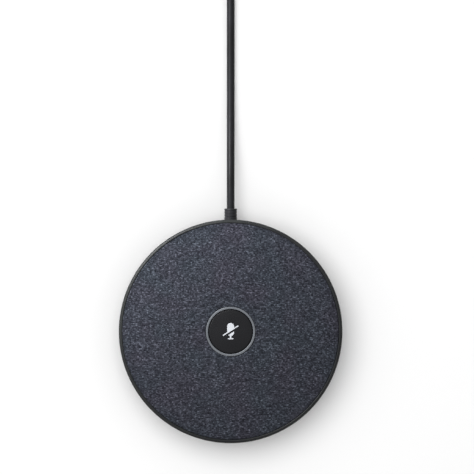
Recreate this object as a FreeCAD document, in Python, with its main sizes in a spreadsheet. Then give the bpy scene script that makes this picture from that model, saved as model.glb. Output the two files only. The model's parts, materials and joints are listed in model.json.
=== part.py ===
"""Round conference speakerphone: a flat cloth-topped puck with one mute key, on a USB lead.

The frame is in millimetres. +Z is up, +Y points the way the lead leaves the housing, and the
origin is the centre of the foot ring's underside, on the table.
"""
import FreeCAD, Part
import math
import os
import re
import Sketcher
from FreeCAD import Placement, Rotation, Vector

# ---------------------------------------------------------------------------------------------
# Driving dimensions: one spreadsheet cell each, in millimetres, degrees or plain counts.
# ---------------------------------------------------------------------------------------------
SIZES = {
    # outside of the housing
    "body_radius": 50, "split_radius": 48.9, "split_height": 9, "rim_top": 18.4, "rim_round": 0.9,
    "rim_inner": 48.5, "rim_edge": 0.2, "parting_groove": 0.25, "dome_rise": 1.2,
    # bottom cover and foot
    "base_height": 0.8, "base_radius": 43, "base_curve": 14, "floor_thickness": 2.4,
    "floor_radius": 41.8, "cover_inner": 46.9, "cover_wall_foot": 8, "lip_radius": 47.6,
    "lip_height": 1.6, "foot_inner": 36, "foot_outer": 42, "foot_thickness": 2, "foot_gap": 0.1,
    "foot_edge": 0.4,
    # outer ring
    "ring_wall_inner": 47.8, "ledge_inner": 46.5, "ledge_height": 16.2, "ledge_thickness": 1.2,
    "boss_circle": 39, "boss_radius": 3, "boss_web": 1.6, "boss_foot": 5.3, "boss_count": 4,
    "boss_turn": 45, "web_foot": 10.8,
    # housing screws, M2 size, under the foot ring
    "pillar_radius": 4, "pillar_top": 5.2, "recess_radius": 2.7, "recess_roof": 3.6,
    "case_hole": 1.2, "case_head": 2.1, "case_head_foot": 2.1, "case_shank": 1, "case_tip": 12,
    "case_pilot_roof": 12.5,
    # cloth and its carrier
    "cloth_radius": 48.2, "cloth_thickness": 0.6, "cloth_hem": 16.4, "cloth_hole": 11.15,
    "cloth_hole_hem": 17.6, "cloth_shoulder": 0.5, "carrier_radius": 47.55, "carrier_thickness": 1.6,
    "carrier_hole": 11.75, "carrier_gap": 0.05, "hook_inner": 45.3, "hook_outer": 46.3,
    "hook_tip": 47, "hook_width": 6, "hook_foot": 14.1, "hook_barb_top": 14.9, "hook_count": 6,
    # key, light ring and light shield
    "key_radius": 9.85, "key_top": 19.7, "key_edge_round": 0.5, "key_edge_drop": 0.25,
    "key_skirt_inner": 8.7, "key_foot": 11, "key_roof": 18.05, "key_post": 1.6,
    "seat_inner": 6.2, "seat_outer": 6.9, "seat_foot": 17.2,
    "tab_root": 9.4, "tab_tip": 10.9, "tab_width": 4, "tab_top": 11.9, "tab_count": 3,
    "tab_turn": 30, "light_inner": 10.05, "light_outer": 11.05, "light_foot": 12,
    "light_top": 19.75, "light_edge": 0.2, "light_flange": 13, "flange_foot": 16.35,
    "flange_top": 17.2, "shield_inner": 11.3, "shield_outer": 12.3, "shield_top": 16.25,
    "led_circle": 10.55, "led_length": 1.6, "led_width": 0.8, "led_height": 0.6, "led_count": 6,
    # white sign in the key: a microphone with a stroke through it
    "sign_depth": 0.35, "sign_capsule": 3.1, "sign_capsule_top": 3.85, "sign_capsule_foot": -1.95,
    "sign_stem": 0.7, "sign_stem_foot": -2.95, "sign_bar": 2.5, "sign_bar_height": 0.45,
    "sign_stroke": 0.5, "sign_stroke_length": 8.2, "sign_stroke_turn": 32.6,
    "sign_stroke_rise": 0.45, "sign_gap": 0.85,
    # return spring and switch
    "spring_radius": 5.4, "spring_wire": 0.25, "spring_turns": 5, "switch_side": 6,
    "switch_height": 3.5, "plunger_radius": 1.6, "plunger_top": 13.5, "plunger_gap": 0.15,
    "plunger_foot": 10.7, "well_floor": 10.2,
    # main board and its screws
    "board_radius": 35.5, "board_height": 8, "board_thickness": 1.2, "board_hole": 0.95,
    "post_circle": 30, "post_radius": 2.5, "post_count": 3, "post_hole": 0.8,
    "post_hole_floor": 4.2, "board_head": 1.9, "board_head_height": 1.3, "board_screw_tip": 4.8,
    "plate_radius": 34.5, "plate_thickness": 2, "plate_hole": 2.9,
    # loudspeaker, 28 mm
    "speaker_back": 29.5, "speaker_radius": 14, "speaker_top": 15.2, "speaker_flange": 0.8,
    "basket_outer": 13.2, "basket_inner": 12.5, "basket_foot": 11.6, "basket_floor": 0.7,
    "pot_radius": 8.5, "pot_wall": 1.2, "pot_foot": 10.2, "pot_top": 12.8, "pot_floor": 0.8,
    "slug_radius": 6, "former_inner": 6.35, "former_outer": 6.85, "former_foot": 11.7,
    "former_top": 13.5, "cone_radius": 10.4, "cone_top": 14.4, "cone_wall": 0.35,
    "dust_cap_rise": 0.7, "surround_outer": 12.4, "surround_roll": 1.15, "surround_wall": 0.3,
    "gasket_inner": 12.6, "gasket_thickness": 0.8, "ear_reach": 16.8, "ear_radius": 2.3,
    "ear_hole": 0.95, "ear_pilot": 0.7, "ear_head": 1.6, "ear_head_height": 0.9,
    "ear_screw_top": 16.7, "collar_outer": 15, "collar_inner": 12.8, "collar_roof": 17,
    "grille_hole": 0.9, "grille_pitch": 3.2,
    # microphones
    "mic_circle": 41, "mic_count": 3, "mic_turn": 90, "mic_boss": 4.6, "mic_boss_foot": 15.8,
    "mic_port": 0.6, "mic_boot": 4, "mic_boot_hole": 0.75, "mic_board": 4.4,
    "mic_board_top": 14.6, "mic_board_thickness": 0.8, "mic_can_length": 3.5,
    "mic_can_width": 2.65, "mic_can_height": 1,
    # lead where it enters the housing
    "lead_radius": 1.75, "gland_radius": 2.85, "gland_end": 55, "gland_edge": 0.35,
    "gland_flange": 3.8, "gland_flange_start": 44.7, "gland_flange_end": 46.3,
    "gland_clearance": 0.08, "inner_lead_end": 36.6, "saddle_width": 14.4, "saddle_start": 38.2,
    "saddle_length": 3.6, "saddle_top": 8.85, "clamp_foot": 9.15, "clamp_top": 11.4,
    "clamp_screw_side": 5, "clamp_head": 1.8, "clamp_head_height": 1.2, "clamp_tip": 5,
    # wound-up end of the lead: turns lie in layers on the tie's strap
    "coil_mid_radius": 20, "coil_layers": 3, "coil_start": 190, "strap": 0.6,
    "strap_width": 10, "strap_slack": 1.05,
    # USB plug, type A
    "plug_axis_height": 4, "relief_length": 10, "relief_thin": 2.3, "relief_thick": 3.1,
    "overmould_length": 21, "overmould_width": 16, "overmould_height": 8, "overmould_round": 2,
    "shell_length": 12, "shell_width": 12, "shell_height": 4.5, "shell_wall": 0.3,
    "tongue_width": 11.2, "tongue_height": 1.9, "tongue_inset": 0.4, "contact_width": 1,
    "contact_pitch": 2.25, "contact_thickness": 0.15, "contact_length": 7.5,
}

# Levels and radii that follow from the driving dimensions.
DERIVED = {
    "floor_top": "base_height + floor_thickness",
    "lip_top": "split_height + lip_height",
    "ledge_foot": "ledge_height - ledge_thickness",
    "board_top": "board_height + board_thickness",
    "dome_curve": "(cloth_radius^2 + dome_rise^2) / (2 * dome_rise)",
    "side_rise": "rim_top - rim_round - split_height - parting_groove",
    "side_reach": "body_radius - split_radius",
    "side_curve": "(side_rise^2 + side_reach^2) / (2 * side_reach)",
    "coil_half": "coil_layers * lead_radius",
    "coil_outer_turn": "coil_mid_radius + (coil_layers - 1) * lead_radius",
}

# The lead's route where it isn't wound: x, y and z of each point. It leaves the gland, comes
# down to the table, runs straight and goes tangentially into the coil.
LEAD_RUN = [(0, 55, 9), (0, 68, 9), (0, 95, 1.75), (0, 148, 1.75), (0, 186, 2.35)]
# The tail leaves the top of the coil, turns round it and comes down to the plug.
LEAD_TAIL = [(0, 192, 9.35), (0, 206, 8.4), (-6.5, 217.3, 6.2), (-17.8, 223.8, 4), (-31, 223.8, 4)]
# Small wires inside the housing, from board to board: one list of points each.
MIC_WIRES = [
    [(2.6, 38.4, 13.4), (5.5, 35.5, 12.8), (9.2, 31.6, 12.1)],
    [(-33.4, -18.4, 13.4), (-31.2, -15.6, 12.8), (-28.6, -13.2, 12.1)],
    [(33.4, -18.4, 13.4), (31.2, -15.6, 12.8), (28.6, -13.2, 12.1)],
]
SPEAKER_WIRES = [
    [(13.1, -25.6, 12.9), (15.2, -22.2, 13.4), (16.5, -16.4, 12.1)],
    [(13.6, -27.4, 12.9), (16.4, -23.8, 13.4), (17.5, -16.4, 12.1)],
]
# Parts on the main board: name, (x, y) of the middle, (length, width, height).
CHIP_PLACES = {
    "processor_chip": ((20, 14), (9, 9, 0.9)),
    "codec_chip": ((-19, 8), (6, 6, 0.9)),
    "amplifier_chip": ((22, -9), (5, 4, 0.9)),
    "speaker_socket": ((17, -15.5), (4, 3, 2.5)),
}
SHIELD_CAN = (14, 14, 1.8, 0.2)
CAPACITOR_PLACES = [(-26, 0), (-26, 7)]
CAPACITOR_RADIUS = 2.5
CAPACITOR_HEIGHT = 5.4
MIC_SOCKET_PLACES = [(9.5, 30.5), (-28, -12), (28, -12)]
MIC_SOCKET = (3, 2.4, 2.5)
SMALL_PART = (1.6, 0.8, 0.5)
SMALL_PART_ROWS = [(-12, 17, 5, 2.6), (-12, 20, 5, 2.6), (14, 24, 4, 2.6), (-20, -4, 3, 2.6)]
LEAD_SOCKET = (12, 6, 3.8)
LEAD_SOCKET_START = 26
LEAD_PLUG = (10, 6.2, 2.2)
LEAD_PLUG_START = 28.2
LEAD_PLUG_FOOT = 10.1
LEAD_WIRE_RADIUS = 0.28
THIN_WIRE_RADIUS = 0.3
# A cut that removes less than this many cubic millimetres has missed the solid.
LEAST_CUT = 0.05

doc = FreeCAD.newDocument("speakerphone")
sheet = doc.addObject("Spreadsheet::Sheet", "Sizes")
for row, (alias, number) in enumerate(SIZES.items(), start=1):
    sheet.set(f"A{row}", alias)
    sheet.set(f"B{row}", str(number))
    sheet.setAlias(f"B{row}", alias)
doc.recompute()

nodes = []


# ---------------------------------------------------------------------------------------------
# Expressions, sketches and features
# ---------------------------------------------------------------------------------------------
def bound(text):
    """The same expression with derived names written out and the sheet's name before aliases."""
    def replace(match):
        word = match.group()
        if word in DERIVED:
            return "(" + bound(DERIVED[word]) + ")"
        return "Sizes." + word if word in SIZES else word
    return re.sub(r"[a-z_]+", replace, str(text))


def value(text):
    """The number that an expression has with the sheet's sizes."""
    return float(sheet.evalExpression(bound(text)))


def bind(thing, **sizes):
    """Bind properties to expressions; a double underscore stands for a dot."""
    for name, text in sizes.items():
        thing.setExpression(name.replace("__", "."), bound(text))


def node(thing, label):
    """Make an object one of the hand-in's pieces."""
    thing.Label = label
    nodes.append(thing)
    return thing


def new_body(name, group=False):
    body = doc.addObject("PartDesign::Body", name)
    body.AllowCompound = group
    return body


def origin_part(body, role):
    return next(part for part in body.Origin.OriginFeatures if part.Role == role)


def new_sketch(body, role="XY_Plane", offset="0", turn=0.0):
    """A sketch on one of the body's own origin planes, moved along and turned about its normal."""
    sketch = body.newObject("Sketcher::SketchObject", body.Name + "_sketch")
    sketch.AttachmentSupport = (origin_part(body, role), [""])
    sketch.MapMode = "FlatFace"
    sketch.AttachmentOffset = Placement(Vector(0, 0, value(offset)), Rotation(Vector(0, 0, 1), turn))
    bind(sketch, AttachmentOffset__Base__z=offset)
    return sketch


def fix(sketch, kind, *where, text):
    """A dimension in a sketch, bound to an expression."""
    number = sketch.addConstraint(Sketcher.Constraint(kind, *where, value(text)))
    sketch.setExpression(f"Constraints[{number}]", bound(text))


def fix_point(sketch, edge, end, x, y):
    """Hold one end (or centre) of an edge at a place; a zero lies on the sketch's axis."""
    for kind, axis, text in (("DistanceX", -2, x), ("DistanceY", -1, y)):
        if abs(value(text)) < 1e-9:
            sketch.addConstraint(Sketcher.Constraint("PointOnObject", edge, end, axis))
        else:
            fix(sketch, kind, -1, 1, edge, end, text=text)


def draw_outline(sketch, corners):
    """A closed outline. A corner is (x, y), or (x, y, r) where an arc that bulges to the
    right of the direction of travel leads to the next corner (to the left, if r is "-...")."""
    first = sketch.GeometryCount
    points = [Vector(value(c[0]), value(c[1]), 0) for c in corners]
    ends = []
    for here, there, corner in zip(points, points[1:] + points[:1], corners):
        if len(corner) == 2:
            sketch.addGeometry(Part.LineSegment(here, there))
            ends.append((1, 2))
            continue
        left = corner[2].startswith("-")
        radius = value(corner[2].lstrip("-"))
        along = there - here
        side = Vector(-along.y, along.x, 0).normalize()
        depth = math.sqrt(max(radius ** 2 - along.Length ** 2 / 4, 0))
        centre = (here + there) / 2 + side * (-depth if left else depth)
        start, stop = (there, here) if left else (here, there)
        angles = [math.atan2(p.y - centre.y, p.x - centre.x) for p in (start, stop)]
        circle = Part.Circle(centre, Vector(0, 0, 1), radius)
        edge = sketch.addGeometry(Part.ArcOfCircle(circle, *angles))
        fix(sketch, "Radius", edge, text=corner[2].lstrip("-"))
        ends.append((2, 1) if left else (1, 2))
    count = len(corners)
    for place, corner in enumerate(corners):
        after = (place + 1) % count
        sketch.addConstraint(Sketcher.Constraint(
            "Coincident", first + place, ends[place][1], first + after, ends[after][0]))
        fix_point(sketch, first + place, ends[place][0], corner[0], corner[1])


def draw_circle(sketch, x, y, radius):
    edge = sketch.addGeometry(Part.Circle(Vector(value(x), value(y), 0), Vector(0, 0, 1), value(radius)))
    fix(sketch, "Radius", edge, text=radius)
    fix_point(sketch, edge, 3, x, y)


def box_corners(x, y, length, width):
    """Corners of a rectangle centred on (x, y)."""
    left, right = f"{x} - ({length}) / 2", f"{x} + ({length}) / 2"
    near, far = f"{y} - ({width}) / 2", f"{y} + ({width}) / 2"
    return [(left, near), (right, near), (right, far), (left, far)]


def turned(body, corners, offset="0", turn=0.0):
    """A solid turned from (radius, height) corners, about Z or about a line offset from it."""
    sketch = new_sketch(body, "XZ_Plane")
    if offset != "0":
        corners = [(f"{offset} + {c[0]}",) + tuple(c[1:]) for c in corners]
    draw_outline(sketch, corners)
    feature = body.newObject("PartDesign::Revolution", body.Name + "_turn")
    feature.Profile = sketch
    feature.Angle = 360
    if offset == "0":
        feature.ReferenceAxis = (sketch, ["V_Axis"])
    else:
        line = Part.LineSegment(Vector(value(offset), 0, 0), Vector(value(offset), 9, 0))
        axis = sketch.addGeometry(line, True)
        fix_point(sketch, axis, 1, offset, "0")
        fix_point(sketch, axis, 2, offset, "9")
        feature.ReferenceAxis = (sketch, ["Axis0"])
    return feature


def pad(body, draw, low, high, turn=0.0):
    """Material from one height to another over the outlines that draw(sketch) makes."""
    sketch = new_sketch(body, offset=low, turn=turn)
    draw(sketch)
    feature = body.newObject("PartDesign::Pad", body.Name + "_pad")
    feature.Profile = sketch
    feature.Length = value(high) - value(low)
    bind(feature, Length=f"({high}) - ({low})")
    return feature


def sink(body, draw, low, high, turn=0.0):
    """A pocket from one height down to another; it has to take material away."""
    doc.recompute()
    before = body.Shape.Volume
    sketch = new_sketch(body, offset=high, turn=turn)
    draw(sketch)
    feature = body.newObject("PartDesign::Pocket", body.Name + "_pocket")
    feature.Profile = sketch
    feature.Length = value(high) - value(low)
    bind(feature, Length=f"({high}) - ({low})")
    doc.recompute()
    if before - body.Shape.Volume < LEAST_CUT:
        raise RuntimeError(f"a pocket in {body.Name} cuts nothing")
    return feature


def bore_along_y(body, radius, height, start, end):
    """A round cut along +Y at one height, between two distances from the middle."""
    doc.recompute()
    before = body.Shape.Volume
    sketch = new_sketch(body, "XZ_Plane", offset=f"-(({start}) + ({end})) / 2")
    draw_circle(sketch, "0", height, radius)
    feature = body.newObject("PartDesign::Pocket", body.Name + "_bore")
    feature.Profile = sketch
    feature.Midplane = True
    feature.Length = value(end) - value(start)
    bind(feature, Length=f"({end}) - ({start})")
    doc.recompute()
    if before - body.Shape.Volume < LEAST_CUT:
        raise RuntimeError(f"a bore in {body.Name} cuts nothing")
    return feature


def repeat(body, features, count):
    """The features again, evenly round Z."""
    pattern = body.newObject("PartDesign::PolarPattern", body.Name + "_ring")
    pattern.Originals = features
    pattern.Axis = (origin_part(body, "Z_Axis"), [""])
    pattern.Angle = 360
    pattern.Occurrences = int(value(count))
    bind(pattern, Occurrences=count)
    body.Tip = pattern
    return pattern


def place(thing, x="0", y="0", z="0", axis=(0, 0, 1), angle=0.0):
    thing.Placement = Placement(Vector(value(x), value(y), value(z)), Rotation(Vector(*axis), angle))
    bind(thing, Placement__Base__x=x, Placement__Base__y=y, Placement__Base__z=z)
    return thing


def along_y(body):
    """Lay a body turned about its own Z along +Y, at the height of the parting line."""
    return place(body, z="split_height", axis=(1, 0, 0), angle=-90)


def block(name, x, y, low, length, width, height, angle=0.0):
    """A Part::Box centred on (x, y), standing on a height, turned about its own middle."""
    box = doc.addObject("Part::Box", name)
    bind(box, Length=length, Width=width, Height=height)
    spin = Rotation(Vector(0, 0, 1), angle)
    corner = spin.multVec(Vector(-value(length) / 2, -value(width) / 2, 0))
    box.Placement = Placement(Vector(value(x), value(y), value(low)) + corner, spin)
    bind(box, Placement__Base__z=low)
    if not angle:
        bind(box, Placement__Base__x=f"{x} - ({length}) / 2", Placement__Base__y=f"{y} - ({width}) / 2")
    return box


def rod(name, x, y, low, radius, height):
    cylinder = doc.addObject("Part::Cylinder", name)
    bind(cylinder, Radius=radius, Height=height)
    return place(cylinder, str(x), str(y), low)


def cut(name, base, tool):
    feature = doc.addObject("Part::Cut", name)
    feature.Base = base
    feature.Tool = tool
    return feature


def fuse(name, shapes):
    feature = doc.addObject("Part::MultiFuse", name)
    feature.Shapes = shapes
    return feature


def group(name, things):
    """Separate solids kept in one node."""
    feature = doc.addObject("Part::Compound", name)
    feature.Links = things
    return feature


def tube_shape(name, points, radius):
    """A round tube on straight runs joined by tangent arcs, each as large as its runs allow."""
    points = [Vector(*p) for p in points]
    edges = []
    here = points[0]
    radii = []
    for before, corner, after in zip(points, points[1:], points[2:]):
        arrive, leave = corner - before, after - corner
        half_turn = arrive.getAngle(leave) / 2
        cut_back = 0.45 * min(arrive.Length, leave.Length)
        radii.append(cut_back / math.tan(half_turn))
        start = corner - arrive.normalize() * cut_back
        end = corner + leave.normalize() * cut_back
        bend = radii[-1] * (1 / math.cos(half_turn) - 1)
        middle = corner + ((start + end) / 2 - corner).normalize() * bend
        edges += [Part.LineSegment(here, start).toShape(), Part.Arc(start, middle, end).toShape()]
        here = end
    edges.append(Part.LineSegment(here, points[-1]).toShape())
    path = Part.Wire(edges)
    section = Part.Wire(Part.Circle(points[0], points[1] - points[0], radius).toShape())
    solid = path.makePipeShell([section], True, False)
    expected = math.pi * radius ** 2 * path.Length
    print(f"{name}: length {path.Length:.1f}, radii {[round(r, 1) for r in radii]}, "
          f"volume {solid.Volume:.1f} for {expected:.1f}")
    if abs(solid.Volume / expected - 1) > 0.01:
        raise RuntimeError(f"{name}'s tube has the wrong volume")
    return solid


def tubes(name, routes, radius):
    """One node of round tubes; the shapes come from Part, as no feature joins arcs of a route."""
    feature = doc.addObject("Part::Feature", name)
    solids = [tube_shape(name, route, radius) for route in routes]
    feature.Shape = solids[0] if len(solids) == 1 else Part.Compound(solids)
    feature.Placement = Placement()
    return node(feature, name)


def dome(radius, below="0"):
    """Height of the domed top at a radius, or of a surface at a depth below it."""
    return f"rim_top + dome_rise * (1 - (({radius}) / cloth_radius)^2) - ({below})"


# ---------------------------------------------------------------------------------------------
# Housing
# ---------------------------------------------------------------------------------------------
def make_bottom_cover():
    body = node(new_body("bottom_cover"), "bottom_cover")
    turned(body, [
        ("0", "base_height"), ("foot_inner", "base_height"), ("foot_inner", "foot_thickness"),
        ("foot_outer", "foot_thickness"), ("foot_outer", "base_height"),
        ("base_radius", "base_height", "base_curve"),
        ("split_radius", "split_height - parting_groove"),
        ("split_radius - parting_groove", "split_height"), ("lip_radius", "split_height"),
        ("lip_radius", "lip_top"), ("cover_inner", "lip_top"), ("cover_inner", "cover_wall_foot"),
        ("floor_radius", "floor_top"), ("0", "floor_top")])
    slot_depth = "gland_flange_end - gland_flange_start + 0.2"
    sink(body, lambda s: draw_outline(s, box_corners(
        "0", "(gland_flange_start + gland_flange_end) / 2", "2 * (gland_flange + gland_clearance)",
        slot_depth)), "split_height - gland_flange - gland_clearance", "lip_top")
    pillar = pad(body, lambda s: draw_circle(s, "boss_circle", "0", "pillar_radius"),
                 "floor_top - 0.3", "pillar_top", value("boss_turn"))
    repeat(body, [pillar], "boss_count")
    recess = sink(body, lambda s: draw_circle(s, "boss_circle", "0", "recess_radius"),
                  "foot_thickness", "recess_roof", value("boss_turn"))
    hole = sink(body, lambda s: draw_circle(s, "boss_circle", "0", "case_hole"),
                "recess_roof", "pillar_top", value("boss_turn"))
    repeat(body, [recess, hole], "boss_count")
    post = pad(body, lambda s: draw_circle(s, "post_circle", "0", "post_radius"),
               "floor_top - 0.3", "board_height")
    repeat(body, [post], "post_count")
    pilot = sink(body, lambda s: draw_circle(s, "post_circle", "0", "post_hole"),
                 "post_hole_floor", "board_height")
    repeat(body, [pilot], "post_count")
    saddle_middle = "saddle_start + saddle_length / 2"
    pad(body, lambda s: draw_outline(s, box_corners("0", saddle_middle, "saddle_width", "saddle_length")),
        "floor_top - 0.3", "saddle_top")
    bore_along_y(body, "lead_radius", "split_height", "saddle_start - 1", "saddle_start + saddle_length + 1")

    def clamp_pilots(sketch):
        for side in ("-clamp_screw_side", "clamp_screw_side"):
            draw_circle(sketch, side, saddle_middle, "post_hole")
    sink(body, clamp_pilots, "post_hole_floor", "saddle_top")
    notch_for_gland(body)


def notch_for_gland(body):
    """The round passage through the wall, half in each part of the housing."""
    bore_along_y(body, "gland_radius + gland_clearance", "split_height",
                 "gland_flange_end", "body_radius + 2")


def make_outer_ring():
    body = node(new_body("outer_ring"), "outer_ring")
    turned(body, [
        ("ring_wall_inner", "split_height"), ("split_radius - parting_groove", "split_height"),
        ("split_radius", "split_height + parting_groove", "side_curve"),
        ("body_radius", "rim_top - rim_round", "rim_round"), ("body_radius - rim_round", "rim_top"),
        ("rim_inner + rim_edge", "rim_top"), ("rim_inner", "rim_top - rim_edge"),
        ("rim_inner", "ledge_height"), ("ledge_inner", "ledge_height"),
        ("ledge_inner", "ledge_foot"), ("ring_wall_inner", "ledge_foot")])
    web_end = "ring_wall_inner + 0.3"
    web = pad(body, lambda s: draw_outline(s, box_corners(
        f"(boss_circle + {web_end}) / 2", "0", f"{web_end} - boss_circle", "boss_web")),
        "web_foot", "ledge_foot + 0.3", value("boss_turn"))
    boss = pad(body, lambda s: draw_circle(s, "boss_circle", "0", "boss_radius"),
               "boss_foot", "ledge_foot", value("boss_turn"))
    repeat(body, [web, boss], "boss_count")
    pilot = sink(body, lambda s: draw_circle(s, "boss_circle", "0", "case_shank"),
                 "boss_foot", "case_pilot_roof", value("boss_turn"))
    repeat(body, [pilot], "boss_count")
    notch_for_gland(body)


def make_foot_ring():
    body = node(new_body("foot_ring"), "foot_ring")
    inner, outer = "foot_inner + foot_gap", "foot_outer - foot_gap"
    turned(body, [
        (f"{inner} + foot_edge", "0"), (f"{outer} - foot_edge", "0"), (outer, "foot_edge"),
        (outer, "foot_thickness"), (inner, "foot_thickness"), (inner, "foot_edge")])


def screws(name, circle, head, head_low, head_high, shank, tip, count, turn=0.0):
    """Round-headed screws on a circle round Z. The shank runs from the head's face to the tip."""
    body = node(new_body(name, group=True), name)
    face = head_high if value(tip) > value(head_high) else head_low
    heads = pad(body, lambda s: draw_circle(s, circle, "0", head), head_low, head_high, turn)
    low, high = (face, tip) if value(tip) > value(face) else (tip, face)
    shanks = pad(body, lambda s: draw_circle(s, circle, "0", shank), low, high, turn)
    repeat(body, [heads, shanks], count)


def make_fasteners():
    screws("housing_screws", "boss_circle", "case_head", "case_head_foot", "recess_roof",
           "case_shank", "case_tip", "boss_count", value("boss_turn"))
    screws("board_screws", "post_circle", "board_head", "board_top", "board_top + board_head_height",
           "post_hole", "board_screw_tip", "post_count")


# ---------------------------------------------------------------------------------------------
# Cloth top
# ---------------------------------------------------------------------------------------------
def make_grille_carrier():
    body = node(new_body("grille_carrier"), "grille_carrier")
    top = "cloth_thickness + carrier_gap"
    turned(body, [
        ("carrier_radius", "ledge_height"), ("carrier_radius", dome("carrier_radius", top), "dome_curve"),
        ("carrier_hole", dome("carrier_hole", top)),
        ("carrier_hole", dome("carrier_hole", top + " + carrier_thickness"))])
    hook = pad(body, lambda s: draw_outline(s, box_corners(
        "(hook_inner + hook_outer) / 2", "0", "hook_outer - hook_inner", "hook_width")),
        "hook_foot", "ledge_height + 0.6")
    barb = pad(body, lambda s: draw_outline(s, box_corners(
        "(hook_inner + hook_tip) / 2", "0", "hook_tip - hook_inner", "hook_width")),
        "hook_foot", "hook_barb_top")
    repeat(body, [hook, barb], "hook_count")
    boss = pad(body, lambda s: draw_circle(s, "mic_circle", "0", "mic_boss"),
               "mic_boss_foot", "ledge_height + 0.7", value("mic_turn"))
    repeat(body, [boss], "mic_count")
    port = sink(body, lambda s: draw_circle(s, "mic_circle", "0", "mic_port"),
                "mic_boss_foot", "rim_top + dome_rise", value("mic_turn"))
    repeat(body, [port], "mic_count")

    def collar(sketch):
        draw_circle(sketch, "0", "-speaker_back", "collar_outer")
        draw_circle(sketch, "0", "-speaker_back", "collar_inner")
    pad(body, collar, "speaker_top + gasket_thickness", "collar_roof")

    def at_ears(radius):
        def draw(sketch):
            for side in ("-ear_reach", "ear_reach"):
                draw_circle(sketch, side, "-speaker_back", radius)
        return draw
    pad(body, at_ears("ear_radius"), "speaker_top", "collar_roof")
    sink(body, at_ears("ear_pilot"), "speaker_top", "ear_screw_top + 0.2")

    def sound_holes(sketch):
        draw_circle(sketch, "0", "-speaker_back", "grille_hole")
        for ring in range(1, 4):
            for step in range(6 * ring):
                angle = 60 * step / ring
                draw_circle(sketch, f"{ring} * grille_pitch * cos({angle})",
                            f"{ring} * grille_pitch * sin({angle}) - speaker_back", "grille_hole")
    sink(body, sound_holes, "ledge_height", "rim_top + dome_rise")


def make_fabric_cover():
    body = node(new_body("fabric_cover"), "fabric_cover")
    shoulder = "cloth_radius - cloth_shoulder"
    inside = "cloth_radius - cloth_thickness"
    turned(body, [
        (inside, "cloth_hem"), ("cloth_radius", "cloth_hem"),
        ("cloth_radius", "rim_top - cloth_shoulder", "cloth_shoulder"),
        (shoulder, dome(shoulder), "dome_curve"),
        ("cloth_hole", dome("cloth_hole")), ("cloth_hole", "cloth_hole_hem"),
        ("cloth_hole + 0.5", "cloth_hole_hem"),
        ("cloth_hole + 0.5", dome("cloth_hole + 0.5", "cloth_thickness"), "-dome_curve"),
        (inside, dome(inside, "cloth_thickness"))])


# ---------------------------------------------------------------------------------------------
# Mute key
# ---------------------------------------------------------------------------------------------
def make_sign():
    """A microphone crossed out: capsule, stem and foot bar, and a stroke with a gap beside it."""
    low, tall = "key_top - sign_depth", "sign_depth + 0.05"
    half = "sign_capsule / 2"
    capsule = fuse("capsule", [
        rod("capsule_top", 0, f"sign_capsule_top - {half}", low, half, tall),
        rod("capsule_foot", 0, f"sign_capsule_foot + {half}", low, half, tall),
        block("capsule_middle", "0", "(sign_capsule_top + sign_capsule_foot) / 2", low, "sign_capsule",
              f"sign_capsule_top - sign_capsule_foot - 2 * {half}", tall)])
    stem = block("stem", "0", "(sign_capsule_foot + sign_stem_foot) / 2", low, "sign_stem",
                 "sign_capsule_foot - sign_stem_foot + 0.2", tall)
    bar = block("foot_bar", "0", "sign_stem_foot - sign_bar_height / 2", low, "sign_bar",
                "sign_bar_height", tall)
    turn = value("sign_stroke_turn")
    gap_drop = value("(sign_stroke + sign_gap) / 2")
    stroke = block("stroke", "0", "sign_stroke_rise", low, "sign_stroke_length", "sign_stroke", tall, turn)
    gap = block("stroke_gap", str(gap_drop * math.sin(math.radians(turn))),
                f"sign_stroke_rise - {gap_drop * math.cos(math.radians(turn))}", low,
                "sign_stroke_length + 2", "sign_gap", tall, turn)
    figure = fuse("figure", [capsule, stem, bar])
    return node(fuse("mute_icon", [cut("figure_cut", figure, gap), stroke]), "mute_icon")


def make_mute_key(sign):
    body = new_body("key_cap")
    edge = "key_radius - key_edge_round"
    crown = "((key_radius - key_edge_round)^2 + key_edge_drop^2) / (2 * key_edge_drop)"
    shoulder = "key_top - key_edge_drop"
    turned(body, [
        ("0", "plunger_top"), ("key_post", "plunger_top"), ("key_post", "key_roof"),
        ("seat_inner", "key_roof"), ("seat_inner", "seat_foot"), ("seat_outer", "seat_foot"),
        ("seat_outer", "key_roof"), ("key_skirt_inner", "key_roof"), ("key_skirt_inner", "key_foot"),
        ("key_radius", "key_foot"), ("key_radius", f"{shoulder} - key_edge_round", "key_edge_round"),
        (edge, shoulder, crown), ("0", "key_top")])
    tab = pad(body, lambda s: draw_outline(s, box_corners(
        "(tab_root + tab_tip) / 2", "0", "tab_tip - tab_root", "tab_width")),
        "key_foot", "tab_top", value("tab_turn"))
    repeat(body, [tab], "tab_count")
    node(cut("mute_button", body, sign), "mute_button")


def make_key_parts():
    body = node(new_body("light_ring"), "light_ring")
    turned(body, [
        ("light_inner", "light_foot"), ("light_outer", "light_foot"), ("light_outer", "flange_foot"),
        ("light_flange", "flange_foot"), ("light_flange", "flange_top"), ("light_outer", "flange_top"),
        ("light_outer", "light_top - light_edge"), ("light_outer - light_edge", "light_top"),
        ("light_inner + light_edge", "light_top"), ("light_inner", "light_top - light_edge")])
    shield = node(new_body("light_shield"), "light_shield")
    turned(shield, [("shield_inner", "board_top"), ("shield_outer", "board_top"),
                    ("shield_outer", "shield_top"), ("shield_inner", "shield_top")])
    leds = node(new_body("status_leds", group=True), "status_leds")
    led = pad(leds, lambda s: draw_outline(s, box_corners("led_circle", "0", "led_width", "led_length")),
              "board_top", "board_top + led_height")
    repeat(leds, [led], "led_count")
    well = rod("switch_well", 0, 0, "well_floor", "plunger_radius + plunger_gap", "switch_height")
    case = block("switch_case", "0", "0", "board_top", "switch_side", "switch_side", "switch_height")
    node(cut("switch_body", case, well), "switch_body")
    node(rod("switch_plunger", 0, 0, "plunger_foot", "plunger_radius", "plunger_top - plunger_foot"),
         "switch_plunger")


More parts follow.
